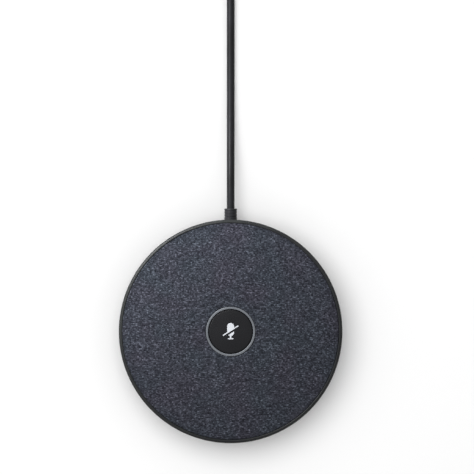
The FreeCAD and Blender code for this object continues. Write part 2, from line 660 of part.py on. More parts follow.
def make_button_spring():
    foot, roof = "board_top + 0.05 + spring_wire", "key_roof - 0.05 - spring_wire"
    helix = doc.addObject("Part::Helix", "spring_line")
    helix.Height = value(f"({roof}) - ({foot})")
    helix.Pitch = helix.Height / value("spring_turns")
    helix.Radius = value("spring_radius")
    bind(helix, Height=f"({roof}) - ({foot})", Pitch=f"(({roof}) - ({foot})) / spring_turns",
         Radius="spring_radius", Placement__Base__z=foot)
    section = doc.addObject("Part::Circle", "spring_section")
    section.Placement = Placement(Vector(value("spring_radius"), 0, value(foot)),
                                  Rotation(Vector(1, 0, 0), 90))
    bind(section, Radius="spring_wire", Placement__Base__x="spring_radius", Placement__Base__z=foot)
    spring = doc.addObject("Part::Sweep", "button_spring")
    spring.Sections = [section]
    spring.Spine = (helix, ["Edge1"])
    spring.Solid = True
    spring.Frenet = True
    node(spring, "button_spring")


# ---------------------------------------------------------------------------------------------
# Board and what is on it
# ---------------------------------------------------------------------------------------------
def make_board_and_plate():
    for name, radius, low, high, hole in (
            ("main_board", "board_radius", "board_height", "board_top", "board_hole"),
            ("ballast_plate", "plate_radius", "floor_top", "floor_top + plate_thickness", "plate_hole")):
        body = node(new_body(name), name)
        pad(body, lambda s: draw_circle(s, "0", "0", radius), low, high)
        holes = sink(body, lambda s: draw_circle(s, "post_circle", "0", hole), low, high)
        repeat(body, [holes], "post_count")


def make_board_parts():
    for name, ((x, y), (length, width, height)) in CHIP_PLACES.items():
        node(block(name, str(x), str(y), "board_top", str(length), str(width), str(height)), name)
    (x, y), _ = CHIP_PLACES["processor_chip"]
    length, width, height, wall = SHIELD_CAN
    outside = block("can_outside", str(x), str(y), "board_top", str(length), str(width), str(height))
    inside = block("can_inside", str(x), str(y), "board_top", str(length - 2 * wall),
                   str(width - 2 * wall), str(height - wall))
    node(cut("shield_can", outside, inside), "shield_can")
    cans = [rod(f"capacitor_{number}", x, y, "board_top", str(CAPACITOR_RADIUS), str(CAPACITOR_HEIGHT))
            for number, (x, y) in enumerate(CAPACITOR_PLACES)]
    node(group("electrolytic_caps", cans), "electrolytic_caps")
    sockets = [block(f"mic_socket_{number}", str(x), str(y), "board_top", *map(str, MIC_SOCKET))
               for number, (x, y) in enumerate(MIC_SOCKET_PLACES)]
    node(group("mic_sockets", sockets), "mic_sockets")
    chips = []
    for row_number, (x, y, count, pitch) in enumerate(SMALL_PART_ROWS):
        for step in range(count):
            chips.append(block(f"chip_{row_number}_{step}", str(x + step * pitch), str(y), "board_top",
                               *map(str, SMALL_PART)))
    node(group("small_parts", chips), "small_parts")


# ---------------------------------------------------------------------------------------------
# Loudspeaker and microphones
# ---------------------------------------------------------------------------------------------
def speaker_body(name):
    return node(place(new_body(name), y="-speaker_back"), name)


def make_loudspeaker():
    flange_foot = "speaker_top - speaker_flange"
    frame = speaker_body("speaker_frame")
    turned(frame, [
        ("pot_radius + 0.1", "basket_foot"), ("basket_outer", "basket_foot"), ("basket_outer", flange_foot),
        ("speaker_radius", flange_foot), ("speaker_radius", "speaker_top"), ("basket_inner", "speaker_top"),
        ("basket_inner", "basket_foot + basket_floor"), ("pot_radius + 0.1", "basket_foot + basket_floor")])
    ear_start = "(basket_outer + ear_reach) / 2"

    def ears(sketch):
        for side in ("-", ""):
            draw_outline(sketch, box_corners(f"{side}({ear_start})", "0",
                                             "ear_reach - basket_outer", "2 * ear_hole + 2"))
    pad(frame, ears, flange_foot, "speaker_top")
    for side in ("-ear_reach", "ear_reach"):
        pad(frame, lambda s: draw_circle(s, side, "0", "ear_radius"), flange_foot, "speaker_top")
        sink(frame, lambda s: draw_circle(s, side, "0", "ear_hole"), flange_foot, "speaker_top")
    magnet = speaker_body("speaker_magnet")
    turned(magnet, [
        ("0", "pot_foot"), ("pot_radius", "pot_foot"), ("pot_radius", "pot_top"),
        ("pot_radius - pot_wall", "pot_top"), ("pot_radius - pot_wall", "pot_foot + pot_floor"),
        ("slug_radius", "pot_foot + pot_floor"), ("slug_radius", "pot_top"), ("0", "pot_top")])
    former = speaker_body("speaker_coil")
    turned(former, [("former_inner", "former_foot"), ("former_outer", "former_foot"),
                    ("former_outer", "former_top"), ("former_inner", "former_top")])
    cone = speaker_body("speaker_cone")
    cap_top = "former_top + cone_wall + dust_cap_rise"
    cap_curve = "(former_outer^2 + dust_cap_rise^2) / (2 * dust_cap_rise)"
    turned(cone, [
        ("0", f"{cap_top} - cone_wall"), ("former_inner", "former_top"), ("former_outer", "former_top"),
        ("cone_radius", "cone_top - cone_wall"), ("cone_radius", "cone_top"),
        ("former_outer", "former_top + cone_wall", cap_curve), ("0", cap_top)])
    surround = speaker_body("speaker_surround")
    inner, outer = "cone_radius + 0.05", "surround_outer"
    roll = f"(({outer} - ({inner})) / 2 * surround_roll)"
    turned(surround, [
        (inner, "cone_top - surround_wall"),
        (f"{inner} + surround_wall", "cone_top - surround_wall", f"-{roll}"),
        (f"{outer} - surround_wall", "cone_top - surround_wall"),
        (outer, "cone_top - surround_wall", roll)])
    gasket = speaker_body("speaker_gasket")
    gasket_roof = "speaker_top + gasket_thickness"
    turned(gasket, [
        ("gasket_inner", "speaker_top"), ("speaker_radius", "speaker_top"),
        ("speaker_radius", gasket_roof), ("gasket_inner", gasket_roof)])
    screw_pair("speaker_screws", "ear_reach", "-speaker_back", "ear_head",
               f"{flange_foot} - ear_head_height", flange_foot, "ear_pilot", flange_foot, "ear_screw_top")


def screw_pair(name, side, y, head, head_low, head_high, shank, low, high):
    """Two screws, one each side of the middle plane."""
    body = node(new_body(name, group=True), name)

    def heads(sketch):
        draw_circle(sketch, f"-{side}", y, head)
        draw_circle(sketch, side, y, head)

    def shanks(sketch):
        draw_circle(sketch, f"-{side}", y, shank)
        draw_circle(sketch, side, y, shank)
    pad(body, heads, head_low, head_high)
    pad(body, shanks, low, high)


def make_microphones():
    turn = value("mic_turn")
    board_foot = "mic_board_top - mic_board_thickness"

    def washer(radius):
        def draw(sketch):
            draw_circle(sketch, "mic_circle", "0", radius)
            draw_circle(sketch, "mic_circle", "0", "mic_boot_hole")
        return draw

    def can(sketch):
        draw_outline(sketch, box_corners("mic_circle", "0", "mic_can_width", "mic_can_length"))
    for name, draw, low, high in (
            ("mic_boots", washer("mic_boot"), "mic_board_top", "mic_boss_foot"),
            ("mic_boards", washer("mic_board"), board_foot, "mic_board_top"),
            ("mic_cans", can, f"{board_foot} - mic_can_height", board_foot)):
        body = node(new_body(name, group=True), name)
        repeat(body, [pad(body, draw, low, high, turn)], "mic_count")


# ---------------------------------------------------------------------------------------------
# Lead
# ---------------------------------------------------------------------------------------------
def make_lead_entry():
    gland = node(along_y(new_body("cable_gland")), "cable_gland")
    turned(gland, [
        ("0", "gland_flange_start"), ("gland_flange", "gland_flange_start"),
        ("gland_flange", "gland_flange_end"), ("gland_radius", "gland_flange_end"),
        ("gland_radius", "gland_end - gland_edge"), ("gland_radius - gland_edge", "gland_end"),
        ("0", "gland_end")])
    inner = node(along_y(new_body("inner_lead")), "inner_lead")
    turned(inner, [("0", "inner_lead_end"), ("lead_radius", "inner_lead_end"),
                   ("lead_radius", "gland_flange_start"), ("0", "gland_flange_start")])
    clamp = node(new_body("cable_clamp"), "cable_clamp")
    middle = "saddle_start + saddle_length / 2"
    pad(clamp, lambda s: draw_outline(s, box_corners("0", middle, "saddle_width", "saddle_length")),
        "clamp_foot", "clamp_top")
    bore_along_y(clamp, "lead_radius", "split_height", "saddle_start - 1", "saddle_start + saddle_length + 1")

    def holes(sketch):
        for side in ("-clamp_screw_side", "clamp_screw_side"):
            draw_circle(sketch, side, middle, "board_hole")
    sink(clamp, holes, "clamp_foot", "clamp_top")
    screw_pair("clamp_screws", "clamp_screw_side", middle, "clamp_head", "clamp_top",
               "clamp_top + clamp_head_height", "post_hole", "clamp_tip", "clamp_top")


def make_lead_connector():
    length, width, height = LEAD_SOCKET
    middle = LEAD_SOCKET_START + width / 2
    outside = block("socket_outside", "0", str(middle), "board_top", str(length), str(width), str(height))
    cavity = block("socket_cavity", "0", str(LEAD_PLUG_START - 0.1 + width / 2), str(LEAD_PLUG_FOOT - 0.1),
                   str(LEAD_PLUG[0] + 0.2), str(width), str(LEAD_PLUG[2] + 0.2))
    node(cut("lead_socket", outside, cavity), "lead_socket")
    node(block("lead_plug_housing", "0", str(LEAD_PLUG_START + LEAD_PLUG[1] / 2), str(LEAD_PLUG_FOOT),
               *map(str, LEAD_PLUG)), "lead_plug_housing")
    start = LEAD_PLUG_START + LEAD_PLUG[1]
    wires = []
    for step in (-1.5, -0.5, 0.5, 1.5):
        wires.append([(2 * step, start + 0.1, LEAD_PLUG_FOOT + LEAD_PLUG[2] / 2),
                      (1.4 * step, start + 1.1, LEAD_PLUG_FOOT + 0.5),
                      (0.65 * step, value("inner_lead_end") - 0.15, value("split_height") + 0.5)])
    tubes("lead_wires", wires, LEAD_WIRE_RADIUS)


def make_lead():
    tubes("lead_run", [LEAD_RUN], value("lead_radius"))
    tubes("lead_tail", [LEAD_TAIL], value("lead_radius"))
    coil = node(place(new_body("lead_coil"), x="-coil_outer_turn", y="coil_start"), "lead_coil")
    inner, outer = "coil_mid_radius - coil_half", "coil_mid_radius + coil_half"
    low, high, round_off = "strap", "strap + 2 * coil_half", "lead_radius"
    turned(coil, [
        (f"{inner} + {round_off}", low), (f"{outer} - {round_off}", low, round_off),
        (outer, f"{low} + {round_off}"), (outer, f"{high} - {round_off}", round_off),
        (f"{outer} - {round_off}", high), (f"{inner} + {round_off}", high, round_off),
        (inner, f"{high} - {round_off}"), (inner, f"{low} + {round_off}", round_off)])
    inside = block("tie_inside", "-coil_outer_turn - coil_mid_radius + strap_slack / 2 - 0.1", "coil_start",
                   "strap", "2 * coil_half + strap_slack", "strap_width + 2", "2 * coil_half + 0.05")
    outside = block("tie_outside", "-coil_outer_turn - coil_mid_radius + strap_slack / 2 - 0.1", "coil_start",
                    "0", "2 * coil_half + strap_slack + 2 * strap", "strap_width",
                    "2 * coil_half + 0.05 + 2 * strap")
    node(cut("coil_tie", outside, inside), "coil_tie")


def plug_body(name, group=False):
    """A body whose own Z runs along the plug, towards its tip, from where the lead ends."""
    end = LEAD_TAIL[-1]
    body = new_body(name, group)
    return node(place(body, str(end[0]), str(end[1]), "plug_axis_height", (0, 1, 0), -90), name)


def draw_round_box(sketch, length, width, radius):
    """A rectangle with rounded corners, centred on the sketch's origin."""
    x, y = f"({length}) / 2", f"({width}) / 2"
    draw_outline(sketch, [
        (f"-{x} + {radius}", f"-{y}"), (f"{x} - {radius}", f"-{y}", radius),
        (x, f"-{y} + {radius}"), (x, f"{y} - {radius}", radius),
        (f"{x} - {radius}", y), (f"-{x} + {radius}", y, radius),
        (f"-{x}", f"{y} - {radius}"), (f"-{x}", f"-{y} + {radius}", radius)])


def make_plug():
    relief = plug_body("plug_relief")
    turned(relief, [("0", "0"), ("relief_thin", "0"),
                    ("relief_thick", "relief_length"), ("0", "relief_length")])
    mould_end = "relief_length + overmould_length"
    mould = plug_body("plug_overmould")
    pad(mould, lambda s: draw_round_box(s, "overmould_height", "overmould_width", "overmould_round"),
        "relief_length", mould_end)
    shell = plug_body("plug_shell")
    tip = f"{mould_end} + shell_length"

    def tube(sketch):
        draw_round_box(sketch, "shell_height", "shell_width", "shell_wall")
        draw_outline(sketch, box_corners("0", "0", "shell_height - 2 * shell_wall",
                                         "shell_width - 2 * shell_wall"))
    pad(shell, tube, mould_end, tip)
    tongue = plug_body("plug_tongue")
    tongue_side = "(shell_height / 2 - shell_wall - tongue_height / 2 - 0.02)"
    pad(tongue, lambda s: draw_outline(s, box_corners(tongue_side, "0", "tongue_height", "tongue_width")),
        mould_end, f"{tip} - tongue_inset")
    contacts = plug_body("plug_contacts", group=True)

    def strips(sketch):
        under = f"{tongue_side} - tongue_height / 2 - contact_thickness / 2"
        for step in (-1.5, -0.5, 0.5, 1.5):
            draw_outline(sketch, box_corners(under, f"{step} * contact_pitch",
                                             "contact_thickness", "contact_width"))
    pad(contacts, strips, f"{tip} - tongue_inset - contact_length - 1", f"{tip} - tongue_inset - 1")


# ---------------------------------------------------------------------------------------------
# Build, check and write
# ---------------------------------------------------------------------------------------------
make_bottom_cover()
make_outer_ring()
make_foot_ring()
make_fasteners()
make_grille_carrier()
make_fabric_cover()
make_mute_key(make_sign())
make_key_parts()
make_button_spring()
make_board_and_plate()
make_board_parts()
make_loudspeaker()
make_microphones()
tubes("speaker_leads", SPEAKER_WIRES, THIN_WIRE_RADIUS)
tubes("mic_leads", MIC_WIRES, THIN_WIRE_RADIUS)
make_lead_entry()
make_lead_connector()
make_lead()
make_plug()
doc.recompute()

for thing in doc.Objects:
    if {"Invalid", "Error"} & set(thing.State):
        raise RuntimeError(f"{thing.Name} failed: {thing.State}")
for thing in nodes:
    if thing.Shape.isNull() or not thing.Shape.isValid() or not thing.Shape.Solids:
        raise RuntimeError(f"{thing.Label} has no valid solid")

os.makedirs("parts", exist_ok=True)
for thing in nodes:
    thing.Shape.exportStep(f"parts/{thing.Label}.step")
print(f"{len(nodes)} nodes written")
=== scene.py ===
"""The looks of a round conference speakerphone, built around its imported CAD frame.

Lengths are in millimetres and are turned to metres by MM. +Z is up and +Y points the way the
lead leaves the housing.
"""
import json
import math

import bmesh
import bpy
from mathutils import Matrix, Vector
from mathutils.noise import noise as slub


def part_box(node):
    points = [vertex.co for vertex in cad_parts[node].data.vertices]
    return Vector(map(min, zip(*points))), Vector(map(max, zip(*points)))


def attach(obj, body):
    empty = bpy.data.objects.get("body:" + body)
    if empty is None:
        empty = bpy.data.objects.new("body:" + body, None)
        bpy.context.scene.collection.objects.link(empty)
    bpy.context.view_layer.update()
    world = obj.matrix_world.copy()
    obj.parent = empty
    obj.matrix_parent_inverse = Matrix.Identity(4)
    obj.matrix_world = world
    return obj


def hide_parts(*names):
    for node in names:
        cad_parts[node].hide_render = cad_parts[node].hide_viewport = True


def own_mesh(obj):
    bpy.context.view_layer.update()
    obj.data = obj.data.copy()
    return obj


MM = 0.001
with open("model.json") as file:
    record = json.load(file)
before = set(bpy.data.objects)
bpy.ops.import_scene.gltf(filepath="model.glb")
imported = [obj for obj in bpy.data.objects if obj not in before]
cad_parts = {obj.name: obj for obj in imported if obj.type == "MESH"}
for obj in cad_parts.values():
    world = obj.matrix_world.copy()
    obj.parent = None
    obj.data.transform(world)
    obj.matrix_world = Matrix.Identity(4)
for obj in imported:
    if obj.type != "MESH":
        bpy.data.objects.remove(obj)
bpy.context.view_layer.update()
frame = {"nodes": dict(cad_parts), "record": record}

SMOOTH_UNDER = math.radians(35)      # edges that turn more than this stay sharp
ON_AXIS = 1e-9                       # a radius in metres that counts as zero


# ---------------------------------------------------------------------------------------------
# Colours and nodes
# ---------------------------------------------------------------------------------------------
def colour(hex_code):
    """An sRGB hex colour as linear red, green, blue and alpha."""
    channels = [int(hex_code[start:start + 2], 16) / 255 for start in (1, 3, 5)]
    linear = [c / 12.92 if c <= 0.04045 else ((c + 0.055) / 1.055) ** 2.4 for c in channels]
    return (*linear, 1.0)


def add(tree, kind, inputs=None, **settings):
    """A new shader node with its settings; an input is a value or another node's output."""
    made = tree.nodes.new("ShaderNode" + kind)
    for name, setting in settings.items():
        setattr(made, name, setting)
    for socket, given in (inputs or {}).items():
        if isinstance(given, bpy.types.NodeSocket):
            tree.links.new(given, made.inputs[socket])
        else:
            made.inputs[socket].default_value = given
    return made


def math_node(tree, operation, first, second=0.0):
    return add(tree, "Math", {0: first, 1: second}, operation=operation).outputs[0]


def new_material(name, **surface):
    """A material with a Principled surface. Constant values go straight onto its sockets."""
    made = bpy.data.materials.new(name)
    made.use_nodes = True
    tree = made.node_tree
    shader = tree.nodes["Principled BSDF"]
    for socket, given in surface.items():
        shader.inputs[socket.replace("_", " ")].default_value = given
    made.diffuse_color = shader.inputs["Base Color"].default_value
    return made, tree, shader


def noise(tree, feature, detail=2.0, place=None, rough=0.5):
    """Noise whose blobs are about one feature wide, in millimetres."""
    place = place or add(tree, "TexCoord").outputs["Object"]
    made = add(tree, "TexNoise", {"Vector": place, "Scale": 1 / (feature * MM),
                                  "Detail": detail, "Roughness": rough})
    return made.outputs["Fac"]


def ramp(tree, factor, stops):
    """A colour ramp; stops are (position, hex colour)."""
    made = add(tree, "ValToRGB", {"Fac": factor})
    elements = made.color_ramp.elements
    while len(elements) < len(stops):
        elements.new(0.5)
    for element, (position, hex_code) in zip(elements, stops):
        element.position = position
        element.color = colour(hex_code)
    return made.outputs["Color"]


def spread(tree, factor, low, high):
    """Noise around one half stretched to run from low to high."""
    return add(tree, "MapRange", {"Value": factor, "From Min": 0.3, "From Max": 0.7,
                                  "To Min": low, "To Max": high}).outputs["Result"]


def bumped(tree, shader, height, depth):
    """Fine relief, depth millimetres deep where the height runs from 0 to 1."""
    bump = add(tree, "Bump", {"Height": height, "Strength": 1.0, "Distance": depth * MM})
    tree.links.new(bump.outputs["Normal"], shader.inputs["Normal"])


def two_toned(tree, shader, factor, dark, light):
    """Base colour that drifts between two tones with a noise."""
    tones = ramp(tree, factor, [(0.35, dark), (0.65, light)])
    tree.links.new(tones, shader.inputs["Base Color"])


def moulded(name, dark, light, roughness, grain, depth, spread_by=0.05, **surface):
    """Moulded polymer: faint cloudy colour, spark-eroded grain in relief, uneven gloss."""
    made, tree, shader = new_material(name, Base_Color=colour(dark), Roughness=roughness, **surface)
    fine = noise(tree, grain, 2.0)
    two_toned(tree, shader, noise(tree, CLOUD_SIZE, 3.0), dark, light)
    gloss = spread(tree, fine, roughness - spread_by, roughness + spread_by)
    tree.links.new(gloss, shader.inputs["Roughness"])
    bumped(tree, shader, fine, depth)
    return made


def metal(name, dark, light, roughness, grain, depth=0.004):
    """Plated or drawn metal: slightly stained, with fine relief and uneven gloss."""
    made, tree, shader = new_material(name, Base_Color=colour(dark), Metallic=1.0,
                                      Roughness=roughness)
    fine = noise(tree, grain, 3.0)
    two_toned(tree, shader, noise(tree, STAIN_SIZE, 4.0), dark, light)
    gloss = spread(tree, fine, roughness - 0.06, roughness + 0.08)
    tree.links.new(gloss, shader.inputs["Roughness"])
    bumped(tree, shader, fine, depth)
    return made


# ---------------------------------------------------------------------------------------------
# Materials
# ---------------------------------------------------------------------------------------------
CLOUD_SIZE = 9.0        # size of the cloudy patches in moulded polymers
STAIN_SIZE = 3.5        # size of the stains on metal
CLOTH_YARN = 0.7        # yarn spacing of the acoustic cloth
CLOTH_FLECK = 0.66      # size of its light and dark flecks
CLOTH_PATCH = 14.0      # size of the patches in which its tint drifts
CLOTH_RELIEF = 0.04     # height of a yarn's crown over the gaps, and of the slubs
HEM_SHADE_RADII = (46.6, 47.6)      # radii between which painted shade darkens the cloth's hem


def acoustic_cloth():
    """Woven polyester melange: blue-grey and charcoal flecks over fine yarns, matt, with painted
    shade in the gaps between yarns and at the hem.
    """
    made, tree, shader = new_material(
        "polyester_melange_woven", Base_Color=colour("#26282c"), Roughness=0.95,
        Sheen_Weight=0.02, Sheen_Roughness=0.5, Specular_IOR_Level=0.08)
    place = add(tree, "TexCoord").outputs["Object"]
    split = add(tree, "SeparateXYZ", {"Vector": place})
    across, along = split.outputs["X"], split.outputs["Y"]
    yarns = [math_node(tree, "MULTIPLY", axis, 1 / (CLOTH_YARN * MM)) for axis in (across, along)]
    waves = [math_node(tree, "COSINE", math_node(tree, "MULTIPLY", yarn, math.pi))
             for yarn in yarns]
    checks = math_node(tree, "MULTIPLY", waves[0], waves[1])
    crown = math_node(tree, "POWER", math_node(tree, "ABSOLUTE", checks), 0.6)
    warp_up = math_node(tree, "GREATER_THAN", checks)

    def yarn_tone(number, length, seed):
        """One random tone per yarn that drifts along it, as melange yarn does."""
        return add(tree, "TexNoise", {
            "Vector": add(tree, "CombineXYZ", {
                "X": math_node(tree, "MULTIPLY", math_node(tree, "ROUND", number), 7.31),
                "Y": math_node(tree, "MULTIPLY", length, 0.45), "Z": seed}).outputs[0],
            "Scale": 1.0, "Detail": 1.0}).outputs["Fac"]
    tone = add(tree, "Mix", {"Factor": warp_up, 2: yarn_tone(yarns[1], yarns[0], 3.7),
                             3: yarn_tone(yarns[0], yarns[1], 11.2)}).outputs[0]
    stretched = add(tree, "VectorMath", {0: place, 1: (0.6, 1.4, 1.0)}, operation="MULTIPLY")
    flecks = noise(tree, CLOTH_FLECK, 3.0, stretched.outputs[0], 0.65)
    tone = math_node(tree, "ADD", math_node(tree, "MULTIPLY", tone, 0.35),
                     math_node(tree, "MULTIPLY", flecks, 0.65))
    yarn_colour = ramp(tree, tone, [(0.37, "#101014"), (0.5, "#212126"), (0.57, "#2f2f35"),
                                    (0.66, "#48484f")])
    # Painted shade: the yarn colour is darkened to 0.7 in the gaps between the yarns' crowns, where
    # the weave's relief would be shaded.
    painted_gap_shade = add(tree, "MapRange", {"Value": crown, "From Min": 0.0, "From Max": 0.8,
                                  "To Min": 0.7, "To Max": 1.0}).outputs["Result"]
    shaded = add(tree, "VectorMath", {0: yarn_colour, "Scale": painted_gap_shade}, operation="SCALE").outputs[0]
    patches = noise(tree, CLOTH_PATCH, 1.0, place)
    tint = ramp(tree, patches, [(0.35, "#f0fdff"), (0.65, "#fbf9ff")])
    tinted = add(tree, "VectorMath", {0: shaded, 1: tint}, operation="MULTIPLY").outputs[0]
    # Painted shade: the cloth's last millimetre is darkened a little, standing in for the shade of
    # the rim's lip over the hem.
    level = add(tree, "CombineXYZ", {"X": across, "Y": along}).outputs[0]
    reach = add(tree, "VectorMath", {0: level}, operation="LENGTH").outputs["Value"]
    painted_hem_shade = add(tree, "MapRange", {
        "Value": reach, "From Min": HEM_SHADE_RADII[0] * MM, "From Max": HEM_SHADE_RADII[1] * MM,
        "To Min": 1.0, "To Max": 0.85}).outputs["Result"]
    dimmed = add(tree, "VectorMath", {0: tinted, "Scale": painted_hem_shade}, operation="SCALE").outputs[0]
    tree.links.new(dimmed, shader.inputs["Base Color"])
    fibre = noise(tree, 0.18, 2.0, place)
    height = math_node(tree, "ADD", crown, math_node(tree, "MULTIPLY", fibre, 0.35))
    bumped(tree, shader, height, CLOTH_RELIEF)
    return made


def cable_jacket():
    """Extruded TPE: soft black with a satin gloss."""
    return moulded("tpe_extruded_black", "#0c0c0d", "#111113", 0.42, 0.35, 0.006, 0.06,
                   Specular_IOR_Level=0.13)


def webbing():
    """Hook-and-loop tape: brushed nylon pile, fuzzy and very matt."""
    made, tree, shader = new_material(
        "nylon_hook_and_loop", Base_Color=colour("#141416"), Roughness=0.95, Sheen_Weight=0.4)
    loops = noise(tree, 0.35, 3.0)
    two_toned(tree, shader, loops, "#0c0c0e", "#2a2a2e")
    bumped(tree, shader, loops, 0.25)
    return made


def circuit_board():
    """Glass-epoxy board under green solder mask: glossy, with lighter tracks showing through."""
    made, tree, shader = new_material(
        "fr4_solder_mask_green", Base_Color=colour("#0d4a2a"), Roughness=0.3, Coat_Weight=0.3)
    place = add(tree, "TexCoord").outputs["Object"]
    tracks = add(tree, "TexBrick", {"Vector": place, "Scale": 1 / (4 * MM), "Mortar Size": 0.06,
                                    "Color1": colour("#0d4a2a"), "Color2": colour("#0f5230"),
                                    "Mortar": colour("#1c7040")})
    tree.links.new(tracks.outputs["Color"], shader.inputs["Base Color"])
    bumped(tree, shader, tracks.outputs["Fac"], 0.02)
    return made


def winding():
    """Enamelled copper wire wound in one layer: fine level ridges, with painted shade between them.
    """
    made, tree, shader = new_material(
        "copper_enamelled_wound", Base_Color=colour("#b5623a"), Metallic=1.0, Roughness=0.28)
    lines = add(tree, "TexWave", {"Vector": add(tree, "TexCoord").outputs["Object"],
                                  "Scale": 1 / (0.6 * MM), "Distortion": 0.2}, bands_direction="Z")
    # Painted shade: the copper runs darker between the turns and lighter on their crowns, following
    # the same bands as the relief.
    tree.links.new(ramp(tree, lines.outputs["Fac"], [(0.0, "#8a4426"), (1.0, "#cf7d4f")]),
                   shader.inputs["Base Color"])
    bumped(tree, shader, lines.outputs["Fac"], 0.02)
    return made


def pressed_paper():
    """Pressed paper pulp of a loudspeaker cone: dull, fibrous, near black."""
    made, tree, shader = new_material(
        "paper_pulp_pressed", Base_Color=colour("#26262a"), Roughness=0.9)
    fibres = noise(tree, 0.3, 5.0, rough=0.7)
    two_toned(tree, shader, fibres, "#1c1c1f", "#35353a")
    bumped(tree, shader, fibres, 0.03)
    return made


MATERIALS = {
    # ABS/PC from a polished mould with a light satin etch: even, with a soft edge highlight.
    "satin_rim": moulded("abs_pc_satin_black", "#131415", "#181919", 0.42, 0.25, 0.003,
                         Specular_IOR_Level=0.22),
    # ABS/PC with a coarser spark-eroded grain, as undersides have.
    "moulded_housing": moulded("abs_pc_spark_grain_black", "#161617", "#1a1a1c", 0.55, 0.5, 0.012,
                               Specular_IOR_Level=0.3),
    # Silicone rubber, compression moulded: matt, slightly dusty.
    "foot_silicone": moulded("silicone_moulded_black", "#232325", "#2b2b2e", 0.72, 0.4, 0.01),
    # ABS with a fine soft-touch etch: broad smooth highlight.
    "key_cap": moulded("abs_fine_etch_black", "#09090b", "#0c0c0e", 0.52, 0.2, 0.002,
                       Specular_IOR_Level=0.16),
    # White polycarbonate of the second moulding shot.
    "white_inlay": moulded("polycarbonate_white_shot", "#85868a", "#8c8d91", 0.5, 0.3, 0.001),
    # Diffusing polycarbonate light guide, unlit: pale grey, satin.
    "light_guide": moulded("polycarbonate_diffuser", "#3c3e42", "#434549", 0.4, 0.3, 0.002,
                           Specular_IOR_Level=0.5),
    "acoustic_cloth": acoustic_cloth(),
    "lead_jacket": cable_jacket(),
    # The same TPE overmoulded on the jacket: smoother and glossier than the extrusion.
    "lead_sleeve": moulded("tpe_overmoulded_black", "#131315", "#19191b", 0.4, 0.5, 0.008,
                           Specular_IOR_Level=0.2),
    "tie_webbing": webbing(),
    # Nickel-plated stamped sheet of the plug.
    "plug_plating": metal("steel_nickel_plated", "#b9b8b4", "#c9c8c4", 0.24, 0.6, 0.002),
    # Hard gold flash over nickel on stamped contacts.
    "gold_contacts": metal("contacts_gold_flash", "#c99b4a", "#d8ad5c", 0.25, 0.4, 0.002),
    # Zinc-plated screw steel: cool grey, slightly blotchy.
    "screw_steel": metal("steel_zinc_plated_screw", "#8d9094", "#a2a5a8", 0.35, 0.3),
    # Zinc-plated sheet and pressed parts.
    "plated_steel": metal("steel_zinc_plated_sheet", "#8a8c8e", "#9fa1a3", 0.38, 0.9),
    # Cold-drawn spring wire, oiled.
    "spring_steel": metal("spring_wire_drawn", "#77787a", "#8b8c8e", 0.3, 0.3),
    # Deep-drawn aluminium can of a capacitor.
    "can_aluminium": metal("aluminium_drawn_can", "#b8babd", "#c6c8ca", 0.3, 0.5),
    "coil_copper": winding(),
    "cone_paper": pressed_paper(),
    "circuit_board": circuit_board(),
    # Transfer-moulded epoxy of chip packages.
    "chip_epoxy": moulded("epoxy_transfer_moulded", "#17171a", "#1e1e21", 0.6, 0.25, 0.006),
    # Natural glass-filled nylon of connectors.
    "connector_nylon": moulded("nylon_natural_moulded", "#cfc8b4", "#d9d3c1", 0.5, 0.3, 0.004),
    # Soft rubber of gaskets, boots and the cone's surround.
    "soft_rubber": moulded("rubber_soft_moulded", "#161617", "#1d1d1f", 0.7, 0.4, 0.01),
    # PVC insulation of hook-up wire.
    "wire_jacket": moulded("pvc_wire_red", "#8c1a18", "#9b2320", 0.4, 0.4, 0.004),
    # Clear resin over phosphor, unlit.
    "led_resin": moulded("led_resin_phosphor", "#cdbf6a", "#d9cc80", 0.2, 0.3, 0.002),
}


def finish_with(piece, slot, material=None):
    """Give a piece the material of a CAD node's slot, or another one."""
    piece.data.materials.clear()
    piece.data.materials.append(MATERIALS[material or slot])


slot_of_node = {part["node"]: part["material_slot"] for part in frame["record"]["subparts"]}
for name, cad_node in frame["nodes"].items():
    for material_slot in cad_node.material_slots:
        material_slot.material = MATERIALS[slot_of_node[name]]


# ---------------------------------------------------------------------------------------------
# Mesh helpers
# ---------------------------------------------------------------------------------------------
def to_piece(shape, name, slot, body="housing", *, replaces):
    """Finish a bmesh: outward faces, sharp edges kept sharp, its material, and what it rides on."""
    bmesh.ops.remove_doubles(shape, verts=shape.verts, dist=0.0005 * MM)
    bmesh.ops.recalc_face_normals(shape, faces=shape.faces)
    for face in shape.faces:
        face.smooth = True
    for edge in shape.edges:
        edge.smooth = len(edge.link_faces) == 2 and edge.calc_face_angle(0) < SMOOTH_UNDER
    mesh = bpy.data.meshes.new(name)
    shape.to_mesh(mesh)
    shape.free()
    piece = bpy.data.objects.new(name, mesh)
    bpy.context.scene.collection.objects.link(piece)
    finish_with(piece, slot)
    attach(piece, body)
    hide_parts(*replaces)
    return piece


def arc(centre, radius, start, end, steps):
    """Points of (radius, height) along an arc, angles in degrees from straight outwards."""
    turns = [math.radians(start + (end - start) * step / steps) for step in range(steps + 1)]
    return [(centre[0] + radius * math.cos(t), centre[1] + radius * math.sin(t)) for t in turns]


def arc_between(here, there, radius, steps):
    """Points from here to there on an arc that bulges to the right of the way."""
    (x0, y0), (x1, y1) = here, there
    half = math.hypot(x1 - x0, y1 - y0) / 2
    depth = math.sqrt(max(radius ** 2 - half ** 2, 0)) / (2 * half)
    centre = ((x0 + x1) / 2 - (y1 - y0) * depth, (y0 + y1) / 2 + (x1 - x0) * depth)
    start = math.degrees(math.atan2(y0 - centre[1], x0 - centre[0]))
    end = math.degrees(math.atan2(y1 - centre[1], x1 - centre[0]))
    return arc(centre, radius, start, end, steps)


